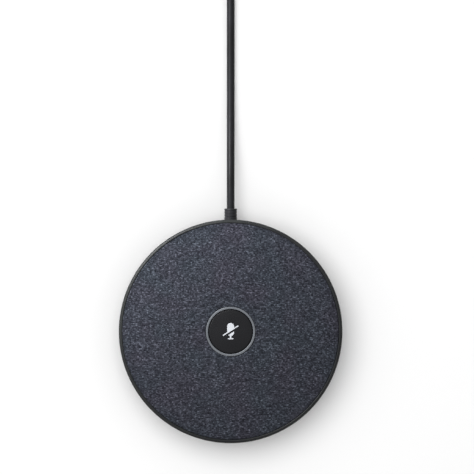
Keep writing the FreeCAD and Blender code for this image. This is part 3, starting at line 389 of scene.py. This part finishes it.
def spun(profile, segments=256, closed=True):
    """A solid of revolution about Z from (radius, height) points in millimetres."""
    shape = bmesh.new()
    ring = [shape.verts.new((r * MM, 0, z * MM)) for r, z in profile]
    following = ring[1:] + ring[:1] if closed else ring[1:]
    # An edge that lies on the axis itself would sweep no face.
    edges = [shape.edges.new(pair) for pair in zip(ring, following)
             if pair[0].co.x > ON_AXIS or pair[1].co.x > ON_AXIS]
    bmesh.ops.spin(shape, geom=ring + edges, cent=(0, 0, 0), axis=(0, 0, 1), angle=2 * math.pi,
                   steps=segments, use_merge=True)
    return shape


def round_off(shape, edges, radius, segments):
    """Round the given edges by a radius in millimetres."""
    bmesh.ops.bevel(shape, geom=edges, offset=radius * MM, segments=segments, profile=0.5,
                    affect="EDGES", material=-1)


def edges_along(shape, axis):
    """The edges that run along an axis, 0 for X to 2 for Z."""
    return [edge for edge in shape.edges
            if abs((edge.verts[0].co - edge.verts[1].co).normalized()[axis]) > 0.9]


def box(size, centre, bevel=0.0, segments=4):
    """A box in millimetres, with all its edges rounded if a bevel is given."""
    shape = bmesh.new()
    bmesh.ops.create_cube(shape, size=1.0)
    bmesh.ops.scale(shape, verts=shape.verts, vec=Vector(size) * MM)
    if bevel:
        round_off(shape, shape.edges[:], bevel, segments)
    bmesh.ops.translate(shape, verts=shape.verts, vec=Vector(centre) * MM)
    return shape


def join(shapes):
    """Several bmeshes as one."""
    whole = shapes[0]
    for other in shapes[1:]:
        mesh = bpy.data.meshes.new("part")
        other.to_mesh(mesh)
        other.free()
        whole.from_mesh(mesh)
        bpy.data.meshes.remove(mesh)
    return whole


def turn(shape, axis, degrees):
    bmesh.ops.rotate(shape, verts=shape.verts, cent=(0, 0, 0),
                     matrix=Matrix.Rotation(math.radians(degrees), 3, axis))
    return shape


def move(shape, x, y, z):
    bmesh.ops.translate(shape, verts=shape.verts, vec=Vector((x, y, z)) * MM)
    return shape


def cut_away(piece, cutter):
    """Take a cutter's volume out of a piece for good."""
    mesh = bpy.data.meshes.new("cutter")
    bmesh.ops.recalc_face_normals(cutter, faces=cutter.faces)
    cutter.to_mesh(mesh)
    cutter.free()
    tool = bpy.data.objects.new("cutter", mesh)
    bpy.context.scene.collection.objects.link(tool)
    step = piece.modifiers.new("cut", "BOOLEAN")
    step.operation = "DIFFERENCE"
    step.solver = "EXACT"
    step.object = tool
    bpy.context.view_layer.update()
    seen = piece.evaluated_get(bpy.context.evaluated_depsgraph_get())
    result = bpy.data.meshes.new_from_object(seen)
    piece.modifiers.clear()
    old = piece.data
    piece.data = result
    bpy.data.meshes.remove(old)
    bpy.data.objects.remove(tool)
    bpy.data.meshes.remove(mesh)
    return piece


# ---------------------------------------------------------------------------------------------
# Sizes shared by the pieces, read from the frame
# ---------------------------------------------------------------------------------------------
def span(node):
    """A node's lowest and highest corners in millimetres."""
    low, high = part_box(node)
    return [c / MM for c in low], [c / MM for c in high]


BODY_RADIUS = span("outer_ring")[1][0]
RIM_TOP = span("outer_ring")[1][2]
CLOTH_RADIUS = span("fabric_cover")[1][0]
DOME_TOP_RISE = 1.2     # how far the cloth's middle lies above its edge
KEY_TOP = span("mute_button")[1][2]
LIGHT_TOP = span("light_ring")[1][2]
SPLIT_HEIGHT = 9.0      # where the two halves of the case meet
SPLIT_RADIUS = 48.9
PARTING_GROOVE = 0.25   # chamfer of each half where they meet
LEAD_RADIUS = 1.75
KEY_RADIUS = 9.85


def dome(radius):
    """Height of the cloth's surface at a radius."""
    return RIM_TOP + DOME_TOP_RISE * (1 - (radius / CLOTH_RADIUS) ** 2)


# ---------------------------------------------------------------------------------------------
# Housing
# ---------------------------------------------------------------------------------------------
def gland_hole():
    """A round bar along +Y through the wall, where the lead's sleeve passes."""
    radius, start, end = 2.95, 44, 53
    bar = spun([(0, start), (radius, start), (radius, end), (0, end)], 48, closed=False)
    return move(turn(bar, "X", -90), 0, 0, SPLIT_HEIGHT)


def make_rim():
    """Upper half of the case: bulging side wall, rounded lip and the ledge for the carrier."""
    side_curve, wall_inner = 31.5, 47.8
    lip_inner, lip_round, lip_bevel = 48.5, 1.2, 0.25
    ledge_inner, ledge_top, ledge_foot = 46.5, 16.2, 15.0
    side = arc_between((SPLIT_RADIUS, SPLIT_HEIGHT + PARTING_GROOVE),
                       (BODY_RADIUS, RIM_TOP - lip_round), side_curve, 10)
    lip = arc((BODY_RADIUS - lip_round, RIM_TOP - lip_round), lip_round, 0, 90, 8)
    profile = [(wall_inner, SPLIT_HEIGHT), (SPLIT_RADIUS - PARTING_GROOVE, SPLIT_HEIGHT)]
    profile += side + lip[1:]
    profile += arc((lip_inner + lip_bevel, RIM_TOP - lip_bevel), lip_bevel, 90, 180, 4)
    profile += [(lip_inner, ledge_top), (ledge_inner, ledge_top), (ledge_inner, ledge_foot),
                (wall_inner, ledge_foot)]
    rim = to_piece(spun(profile, 360), "rim_shell", "satin_rim", replaces=["outer_ring"])
    return cut_away(rim, gland_hole())


def make_base():
    """Lower half of the case: curved side, foot's groove, shallow recess in the middle."""
    underside, edge, side_curve = 0.8, 43.0, 14.0
    recess_roof, recess_inner, recess_outer = 1.1, 31.0, 31.3
    groove_inner, groove_outer, groove_roof = 36.0, 42.0, 2.0
    lip_outer, lip_inner, lip_top = 47.6, 46.9, 10.6
    wall_foot, floor_edge, floor_top = 8.0, 41.8, 3.2
    profile = [(0, recess_roof), (recess_inner, recess_roof), (recess_outer, underside),
               (groove_inner, underside), (groove_inner, groove_roof),
               (groove_outer, groove_roof), (groove_outer, underside)]
    profile += arc_between((edge, underside), (SPLIT_RADIUS, SPLIT_HEIGHT - PARTING_GROOVE),
                           side_curve, 14)
    profile += [(SPLIT_RADIUS - PARTING_GROOVE, SPLIT_HEIGHT), (lip_outer, SPLIT_HEIGHT),
                (lip_outer, lip_top), (lip_inner, lip_top), (lip_inner, wall_foot),
                (floor_edge, floor_top), (0, floor_top)]
    base = to_piece(spun(profile, 360, closed=False), "base_shell", "moulded_housing",
                    replaces=["bottom_cover"])
    return cut_away(base, gland_hole())


def make_foot():
    """Silicone ring with rounded edges and two fine grip grooves."""
    inner, outer, top, rounding, corner = 36.1, 41.9, 2.0, 0.4, 0.12
    depth, half_mouth, half_bottom = 0.25, 0.4, 0.25
    profile = [(inner, top), (inner, rounding), (inner + corner, corner), (inner + rounding, 0.0)]
    for middle in (38.2, 39.8):
        profile += [(middle - half_mouth, 0.0), (middle - half_bottom, depth),
                    (middle + half_bottom, depth), (middle + half_mouth, 0.0)]
    profile += [(outer - rounding, 0.0), (outer - corner, corner), (outer, rounding), (outer, top)]
    return to_piece(spun(profile, 256), "foot_pad", "foot_silicone", replaces=["foot_ring"])


# ---------------------------------------------------------------------------------------------
# Cloth
# ---------------------------------------------------------------------------------------------
CLOTH_HOLE = 11.15      # radius of the opening round the light ring
CLOTH_STEPS = 112
CLOTH_SEGMENTS = 720
CLOTH_SWELL = 0.2       # how far the stretched edge swells towards the rim
SLUB = (1.6, 0.8)       # length and breadth of the slubs


def make_cloth():
    """The cover: a shallow dome with slubs in relief, turned down at the rim and round the key."""
    shoulder, lip, corner, thickness = 0.4, 0.35, 0.1, 0.7
    edge, hem_inner, hem = CLOTH_RADIUS + CLOTH_SWELL, CLOTH_RADIUS - 0.6, 16.4
    hole_hem_outer, hole_hem = CLOTH_HOLE + 0.5, 17.6
    outer, inner = edge - shoulder, CLOTH_HOLE + lip
    profile = [(hole_hem_outer, hole_hem), (CLOTH_HOLE, hole_hem),
               (CLOTH_HOLE, dome(CLOTH_HOLE) - lip),
               (CLOTH_HOLE + corner, dome(CLOTH_HOLE) - corner)]
    for step in range(CLOTH_STEPS + 1):
        radius = inner + (outer - inner) * step / CLOTH_STEPS
        profile.append((radius, dome(radius)))
    profile += arc((outer, dome(outer) - shoulder), shoulder, 90, 0, 5)[1:]
    profile += [(edge, hem), (hem_inner, hem), (hem_inner, dome(outer) - thickness),
                (hole_hem_outer, dome(CLOTH_HOLE) - thickness)]
    shape = spun(profile, CLOTH_SEGMENTS)
    for vert in shape.verts:
        x, y, z = vert.co / MM
        if z > dome(math.hypot(x, y)) - 0.05:
            vert.co.z += CLOTH_RELIEF * slub(Vector((x / SLUB[0], y / SLUB[1], 0))) * MM
    cloth = to_piece(shape, "cloth_top", "acoustic_cloth", replaces=["fabric_cover"])
    for polygon in cloth.data.polygons:
        polygon.use_smooth = True
    return cloth


# ---------------------------------------------------------------------------------------------
# Mute key
# ---------------------------------------------------------------------------------------------
KEY_EDGE_ROUND = 0.5
KEY_EDGE_DROP = 0.25


def key_height(radius):
    """Height of the key's shallow dome at a radius."""
    return KEY_TOP - KEY_EDGE_DROP * (radius / (KEY_RADIUS - KEY_EDGE_ROUND)) ** 2


def make_key():
    """Cap of the key: domed on top, hollow round a middle post, with three hooks at its foot."""
    edge = KEY_RADIUS - KEY_EDGE_ROUND
    post_radius, post_foot, roof, skirt_inner, foot = 1.6, 13.5, 18.05, 8.7, 11.0
    profile = [(0, post_foot), (post_radius, post_foot), (post_radius, roof),
               (skirt_inner, roof), (skirt_inner, foot), (KEY_RADIUS, foot)]
    profile += arc((edge, key_height(edge) - KEY_EDGE_ROUND), KEY_EDGE_ROUND, 0, 85, 6)
    profile += [(r, key_height(r)) for r in (8.8, 7.5, 6.0, 4.5, 3.0, 1.5, 0)]
    cap = spun(profile, 192, closed=False)
    hook_size, hook_place = (1.6, 4.0, 0.9), (10.1, 0, 11.45)
    hooks = [turn(box(hook_size, hook_place, 0.15, 2), "Z", angle) for angle in (30, 150, 270)]
    return to_piece(join([cap] + hooks), "key_cap", "key_cap", "mute_key",
                    replaces=["mute_button"])


def flat_shape(points):
    """One flat face through (x, y) points, in millimetres."""
    shape = bmesh.new()
    shape.faces.new([shape.verts.new((x * MM, y * MM, 0)) for x, y in points])
    return shape


def make_sign():
    """White microphone with a stroke through it, standing a hair proud of the key's dome."""
    half, top, foot = 1.55, 3.85, -1.95
    stem_half, stem_foot, stem_top = 0.35, -3.0, foot + 0.06
    bar_reach, bar_half, bar_level = 1.02, 0.225, -3.175
    tilt, stroke, gap, rise, stroke_reach = 32.6, 0.5, 0.85, 0.45, 4.1
    thickness, sunk = 0.33, 0.31
    normal = Vector((-math.sin(math.radians(tilt)), math.cos(math.radians(tilt)), 0))
    along = Vector((normal.y, -normal.x, 0))

    def capsule():
        return flat_shape(arc((0, top - half), half, 0, 180, 24)
                          + arc((0, foot + half), half, 180, 360, 24))

    def keep_side(shape, offset, above):
        """Only what lies on one side of a line parallel to the stroke."""
        point = (Vector((0, rise, 0)) + normal * offset) * MM
        bmesh.ops.bisect_plane(shape, geom=shape.verts[:] + shape.edges[:] + shape.faces[:],
                               plane_co=point, plane_no=normal,
                               clear_inner=above, clear_outer=not above)
        return shape

    upper = keep_side(capsule(), stroke / 2, True)
    lower = keep_side(capsule(), -stroke / 2 - gap, False)
    stem = flat_shape([(-stem_half, stem_foot), (stem_half, stem_foot),
                       (stem_half, stem_top), (-stem_half, stem_top)])
    bar = flat_shape(arc((bar_reach, bar_level), bar_half, -90, 90, 8)
                     + arc((-bar_reach, bar_level), bar_half, 90, 270, 8))
    reach = stroke_reach - stroke / 2
    ends = [Vector((0, rise, 0)) + along * side * reach for side in (1, -1)]
    slash = flat_shape(arc(ends[0].xy, stroke / 2, tilt - 90, tilt + 90, 8)
                       + arc(ends[1].xy, stroke / 2, tilt + 90, tilt + 270, 8))
    sign = join([upper, lower, stem, bar, slash])
    raised = bmesh.ops.extrude_face_region(sign, geom=sign.faces[:])
    tops = [v for v in raised["geom"] if isinstance(v, bmesh.types.BMVert)]
    bmesh.ops.translate(sign, verts=tops, vec=(0, 0, thickness * MM))
    move(sign, 0, 0, KEY_TOP - sunk)
    return to_piece(sign, "key_sign", "white_inlay", "mute_key", replaces=["mute_icon"])


def make_spring():
    """The key's return spring: round wire wound between the board and the key's roof."""
    (_, _, foot), (reach, _, roof) = span("button_spring")
    wire, turns, steps, travel = 0.25, 5, 36, 0.4
    radius = reach - wire
    line = bpy.data.curves.new("spring", "CURVE")
    line.dimensions = "3D"
    spline = line.splines.new("POLY")
    spline.points.add(turns * steps)
    for number, point in enumerate(spline.points):
        angle = 2 * math.pi * number / steps
        height = foot + wire + (roof - foot - 2 * wire) * number / (turns * steps)
        point.co = (radius * math.cos(angle) * MM, radius * math.sin(angle) * MM, height * MM, 1)
    line.bevel_depth = wire * MM
    line.bevel_resolution = 3
    line.use_fill_caps = True
    coil = bpy.data.objects.new("spring", line)
    bpy.context.scene.collection.objects.link(coil)
    bpy.context.view_layer.update()
    wound = coil.evaluated_get(bpy.context.evaluated_depsgraph_get())
    mesh = bpy.data.meshes.new_from_object(wound)
    bpy.data.objects.remove(coil)
    shape = bmesh.new()
    shape.from_mesh(mesh)
    bpy.data.meshes.remove(mesh)
    spring = to_piece(shape, "key_return_spring", "spring_steel", replaces=["button_spring"])
    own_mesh(spring)


def make_light_guide():
    """Tube round the key with a flange under the cloth; its top edge is the light ring."""
    inner, outer, edge, foot = 10.05, 11.05, 0.2, 12.0
    flange, flange_foot, flange_top = 13.0, 16.35, 17.2
    profile = [(inner, foot), (outer, foot), (outer, flange_foot), (flange, flange_foot),
               (flange, flange_top), (outer, flange_top)]
    profile += arc((outer - edge, LIGHT_TOP - edge), edge, 0, 90, 4)
    profile += arc((inner + edge, LIGHT_TOP - edge), edge, 90, 180, 4)
    return to_piece(spun(profile, 256), "light_guide_ring", "light_guide", replaces=["light_ring"])


# ---------------------------------------------------------------------------------------------
# Lead, tie and plug
# ---------------------------------------------------------------------------------------------
# Control points of the lead before and after its wound turns.
LEAD_RUN = [(0, 55, 9), (0, 68, 9), (0, 95, 1.75), (0, 148, 1.75), (0, 186, 2.35)]
LEAD_TAIL = [(0, 192, 9.35), (0, 206, 8.4), (-6.5, 217.3, 6.2), (-17.8, 223.8, 4), (-31, 223.8, 4)]
COIL_CENTRE = (-23.5, 190)
COIL_LEVELS = (2.35, 5.85, 9.35)        # height of each layer of turns
COIL_POINTS = 16                        # control points in one turn
# Where the winding changes its place in the bundle: degrees from the start, radius, layer.
COIL_STATIONS = [
    (0, 23.5, 0), (290, 23.5, 0), (350, 20, 0), (650, 20, 0), (710, 16.5, 0), (940, 16.5, 0),
    (1000, 16.5, 1), (1230, 16.5, 1), (1290, 20, 1), (1590, 20, 1), (1650, 23.5, 1),
    (1880, 23.5, 1), (1940, 20, 2), (2540, 20, 2), (2590, 23.5, 2), (2880, 23.5, 2)]


def coil_points():
    """Control points of the wound turns, from station to station."""
    step = 360 / COIL_POINTS
    swell = 1 / math.cos(math.radians(step / 2))
    points = []
    for number in range(1, int(COIL_STATIONS[-1][0] / step)):
        angle = number * step
        before = [s for s in COIL_STATIONS if s[0] <= angle][-1]
        after = [s for s in COIL_STATIONS if s[0] > angle][0]
        share = (angle - before[0]) / (after[0] - before[0])
        radius = (before[1] + (after[1] - before[1]) * share) * swell
        low, high = COIL_LEVELS[before[2]], COIL_LEVELS[after[2]]
        spot = math.radians(angle)
        points.append((COIL_CENTRE[0] + radius * math.cos(spot),
                       COIL_CENTRE[1] + radius * math.sin(spot), low + (high - low) * share))
    return points


def make_lead():
    """The whole lead on one smooth curve, from the sleeve through its turns to the plug."""
    route = LEAD_RUN + coil_points() + LEAD_TAIL
    line = bpy.data.curves.new("lead", "CURVE")
    line.dimensions = "3D"
    spline = line.splines.new("NURBS")
    spline.points.add(len(route) - 1)
    for point, (x, y, z) in zip(spline.points, route):
        point.co = (x * MM, y * MM, z * MM, 1)
    spline.order_u = 3
    spline.use_endpoint_u = True
    spline.resolution_u = 6
    line.bevel_depth = LEAD_RADIUS * MM
    line.bevel_resolution = 6
    line.use_fill_caps = True
    lead = bpy.data.objects.new("lead", line)
    bpy.context.scene.collection.objects.link(lead)
    finish_with(lead, "lead_jacket")
    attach(lead, "housing")
    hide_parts("lead_run", "lead_coil", "lead_tail")
    return lead


def make_sleeve():
    """Moulded sleeve of the lead at the case: flange inside, faint ribs and a rounded mouth."""
    radius, flange, flange_start, flange_end = 2.85, 3.8, 44.7, 46.3
    groove_depth, groove_slope, groove_width = 0.15, 0.15, 0.5
    end, mouth, rounding = 55, 1.9, 0.25
    profile = [(0, flange_start), (flange, flange_start), (flange, flange_end),
               (radius, flange_end), (radius, 50.6)]
    for start in (51.1, 52.4, 53.7):
        profile += [(radius, start), (radius - groove_depth, start + groove_slope),
                    (radius - groove_depth, start + groove_width - groove_slope),
                    (radius, start + groove_width)]
    profile += arc((radius - rounding, end - rounding), rounding, 0, 90, 4)
    profile += [(mouth, end), (0, end)]
    shape = move(turn(spun(profile, 64, closed=False), "X", -90), 0, 0, SPLIT_HEIGHT)
    sleeve = to_piece(shape, "lead_sleeve", "lead_jacket", replaces=["cable_gland"])
    finish_with(sleeve, "lead_jacket", "lead_sleeve")
    return sleeve


def make_tie():
    """Hook-and-loop strap round the bundle, with its free end lying back over itself."""
    (x0, y0, _), (x1, y1, z1) = span("coil_tie")
    thick, corner = 0.6, 1.8
    flap_length, flap_thick, flap_shift, flap_inset = 8.0, 0.8, 0.6, 0.2
    middle_x, middle_y = (x0 + x1) / 2, (y0 + y1) / 2
    loop = box((x1 - x0 - 2 * thick, y1 - y0, z1 - 2 * thick), (middle_x, middle_y, z1 / 2))
    bmesh.ops.delete(loop, geom=[f for f in loop.faces if abs(f.normal.y) > 0.5], context="FACES")
    round_off(loop, edges_along(loop, 1), corner, 6)
    bmesh.ops.recalc_face_normals(loop, faces=loop.faces)
    bmesh.ops.solidify(loop, geom=loop.faces[:], thickness=-thick * MM)
    flap = box((flap_length, y1 - y0 - 2 * flap_inset, flap_thick),
               (middle_x + flap_shift, middle_y, z1 + 0.35), 0.25, 3)
    return to_piece(join([loop, flap]), "tie_strap", "tie_webbing", replaces=["coil_tie"])


PLUG_START = (-31.0, 223.8, 4.0)
PLUG_HALF_HEIGHT = 4.0


def along_plug(shape):
    """Lay a shape made along +Z along the plug's axis, which runs towards -X."""
    return move(turn(shape, "Y", -90), *PLUG_START)


def make_relief():
    """Tapered bend relief of the plug, ringed with open slots."""
    thin, thick, length, taper = 2.3, 3.1, 10.0, 0.08
    slot_depth, slot_first, slot_pitch = 0.45, 1.2, 2.2
    profile = [(0, 0.0), (2.1, 0.0), (thin, 0.2)]
    for number in range(4):
        start = slot_first + slot_pitch * number
        radius = thin + taper * start
        profile += [(radius, start), (radius - slot_depth, start + 0.1),
                    (radius - slot_depth + 0.05, start + 0.9), (radius + 0.05, start + 1.0)]
    profile += [(thick, length), (0, length)]
    return to_piece(along_plug(spun(profile, 64, closed=False)), "plug_bend_relief",
                    "lead_jacket", replaces=["plug_relief"])


def make_overmould():
    """Grip of the plug: soft-edged block with three finger ribs on each flat."""
    start, length, width = 10.0, 21.0, 16.0
    rib_size, rib_first, rib_pitch, rib_lift = (0.5, 9.0, 0.9), 15.5, 2.4, 0.05
    shapes = [box((2 * PLUG_HALF_HEIGHT, width, length), (0, 0, start + length / 2), 1.3, 5)]
    for side in (-1, 1):
        for number in range(3):
            place = (side * (PLUG_HALF_HEIGHT - rib_lift), 0, rib_first + rib_pitch * number)
            shapes.append(box(rib_size, place, 0.2, 2))
    shape = join(shapes)
    # The ribs end flush with the block, which rests on the table.
    limit = PLUG_HALF_HEIGHT * MM
    for vert in shape.verts:
        vert.co.x = max(-limit, min(limit, vert.co.x))
    return to_piece(along_plug(shape), "plug_grip", "lead_jacket", replaces=["plug_overmould"])


def make_shell():
    """Folded sheet shell of the plug: two latch windows in each flat, and its open end."""
    height, width, start, end, wall, corner = 4.5, 12.0, 31.0, 43.0, 0.3, 0.5
    window_inner, window_outer, window_start, window_end = 1.5, 4.0, 35.5, 38.0
    shape = box((height, width, end - start), (0, 0, (start + end) / 2))
    bmesh.ops.delete(shape, geom=[f for f in shape.faces if f.normal.z > 0.5], context="FACES")
    round_off(shape, edges_along(shape, 2), corner, 3)
    cuts = [((0, 0, z), (0, 0, 1)) for z in (window_start, window_end)]
    cuts += [((0, y, 0), (0, 1, 0))
             for y in (-window_outer, -window_inner, window_inner, window_outer)]
    for point, normal in cuts:
        bmesh.ops.bisect_plane(shape, geom=shape.verts[:] + shape.edges[:] + shape.faces[:],
                               plane_co=Vector(point) * MM, plane_no=normal)
    windows = []
    for face in shape.faces:
        x, y, z = face.calc_center_median() / MM
        on_flat = abs(x) > height / 2 - 0.05
        if on_flat and window_inner < abs(y) < window_outer and window_start < z < window_end:
            windows.append(face)
    bmesh.ops.delete(shape, geom=windows, context="FACES")
    bmesh.ops.recalc_face_normals(shape, faces=shape.faces)
    bmesh.ops.solidify(shape, geom=shape.faces[:], thickness=wall * MM)
    return to_piece(along_plug(shape), "plug_metal_shell", "plug_plating", replaces=["plug_shell"])


# ---------------------------------------------------------------------------------------------
# Stage
# ---------------------------------------------------------------------------------------------
VIEW_WIDTH = 211.7              # what the view spans at the height of the rim
VIEW_CENTRE = (2.85, 42.22)
LENS = 200.0
SENSOR = 36.0
CLIP_END = 20.0                 # metres
FLOOR_HALF = 3.0                # metres
WORLD_STRENGTH = 0.66


def make_camera():
    """Straight down with a long lens, so that the view is nearly parallel."""
    camera_data = bpy.data.cameras.new("camera")
    camera_data.sensor_width = SENSOR
    camera_data.lens = LENS
    camera_data.clip_end = CLIP_END
    camera = bpy.data.objects.new("camera", camera_data)
    camera.location = Vector((*VIEW_CENTRE, RIM_TOP + VIEW_WIDTH * LENS / SENSOR)) * MM
    bpy.context.scene.collection.objects.link(camera)
    bpy.context.scene.camera = camera


def make_floor():
    """A wide matt white table top."""
    mesh = bpy.data.meshes.new("floor")
    shape = bmesh.new()
    bmesh.ops.create_grid(shape, x_segments=1, y_segments=1, size=FLOOR_HALF)
    shape.to_mesh(mesh)
    shape.free()
    floor = bpy.data.objects.new("floor", mesh)
    bpy.context.scene.collection.objects.link(floor)
    white, _, _ = new_material("table_white_laminate", Base_Color=colour("#f4f4f4"), Roughness=0.8,
                               Specular_IOR_Level=0.2)
    mesh.materials.append(white)


def area_light(name, place, target, size, power):
    """A round light in metres and watts, turned to its target and hidden from the camera."""
    light_data = bpy.data.lights.new(name, "AREA")
    light_data.shape = "DISK"
    light_data.size = size
    light_data.energy = power
    light = bpy.data.objects.new(name, light_data)
    light.location = place
    light.rotation_euler = (Vector(target) - Vector(place)).to_track_quat("-Z", "Y").to_euler()
    light.visible_camera = False
    bpy.context.scene.collection.objects.link(light)
    return light


def make_lights(raked):
    """A broad high key light, a low one that rakes over the given pieces only, a third that
    shows only as highlights, and a white surround."""
    lit = bpy.data.collections.new("raked")
    for piece in raked:
        lit.objects.link(piece)
    overhead = area_light("key_light", (-0.13, 0.15, 0.62), (0, 0, 0), 0.60, 2.7)
    overhead.visible_glossy = False
    raking = area_light("raking_light", (-0.13, 0.15, 0.13), (-0.02, 0.02, 0), 0.08, 2.1)
    raking.data.color = (0.96, 1.0, 1.0)
    raking.visible_glossy = False
    raking.light_linking.receiver_collection = lit
    gloss = area_light("gloss_light", (-0.35, 0.40, 0.42), (0, 0, 0), 0.36, 7.5)
    gloss.visible_diffuse = False
    world = bpy.data.worlds.new("surround")
    world.use_nodes = True
    background = world.node_tree.nodes["Background"]
    background.inputs["Color"].default_value = (1, 1, 1, 1)
    background.inputs["Strength"].default_value = WORLD_STRENGTH
    bpy.context.scene.world = world
    bpy.context.scene.view_settings.view_transform = "Standard"
    bpy.context.scene.view_settings.exposure = 0.0


make_camera()
make_floor()
make_foot()
make_spring()
sleeve = make_sleeve()
on_lead = [sleeve, make_tie(), make_relief(), make_overmould(), make_shell(),
           frame["nodes"]["plug_tongue"], frame["nodes"]["plug_contacts"]]
lead = make_lead()
make_lights([make_rim(), make_base(), make_cloth(), make_key(), make_sign(), make_light_guide(),
             sleeve, lead])
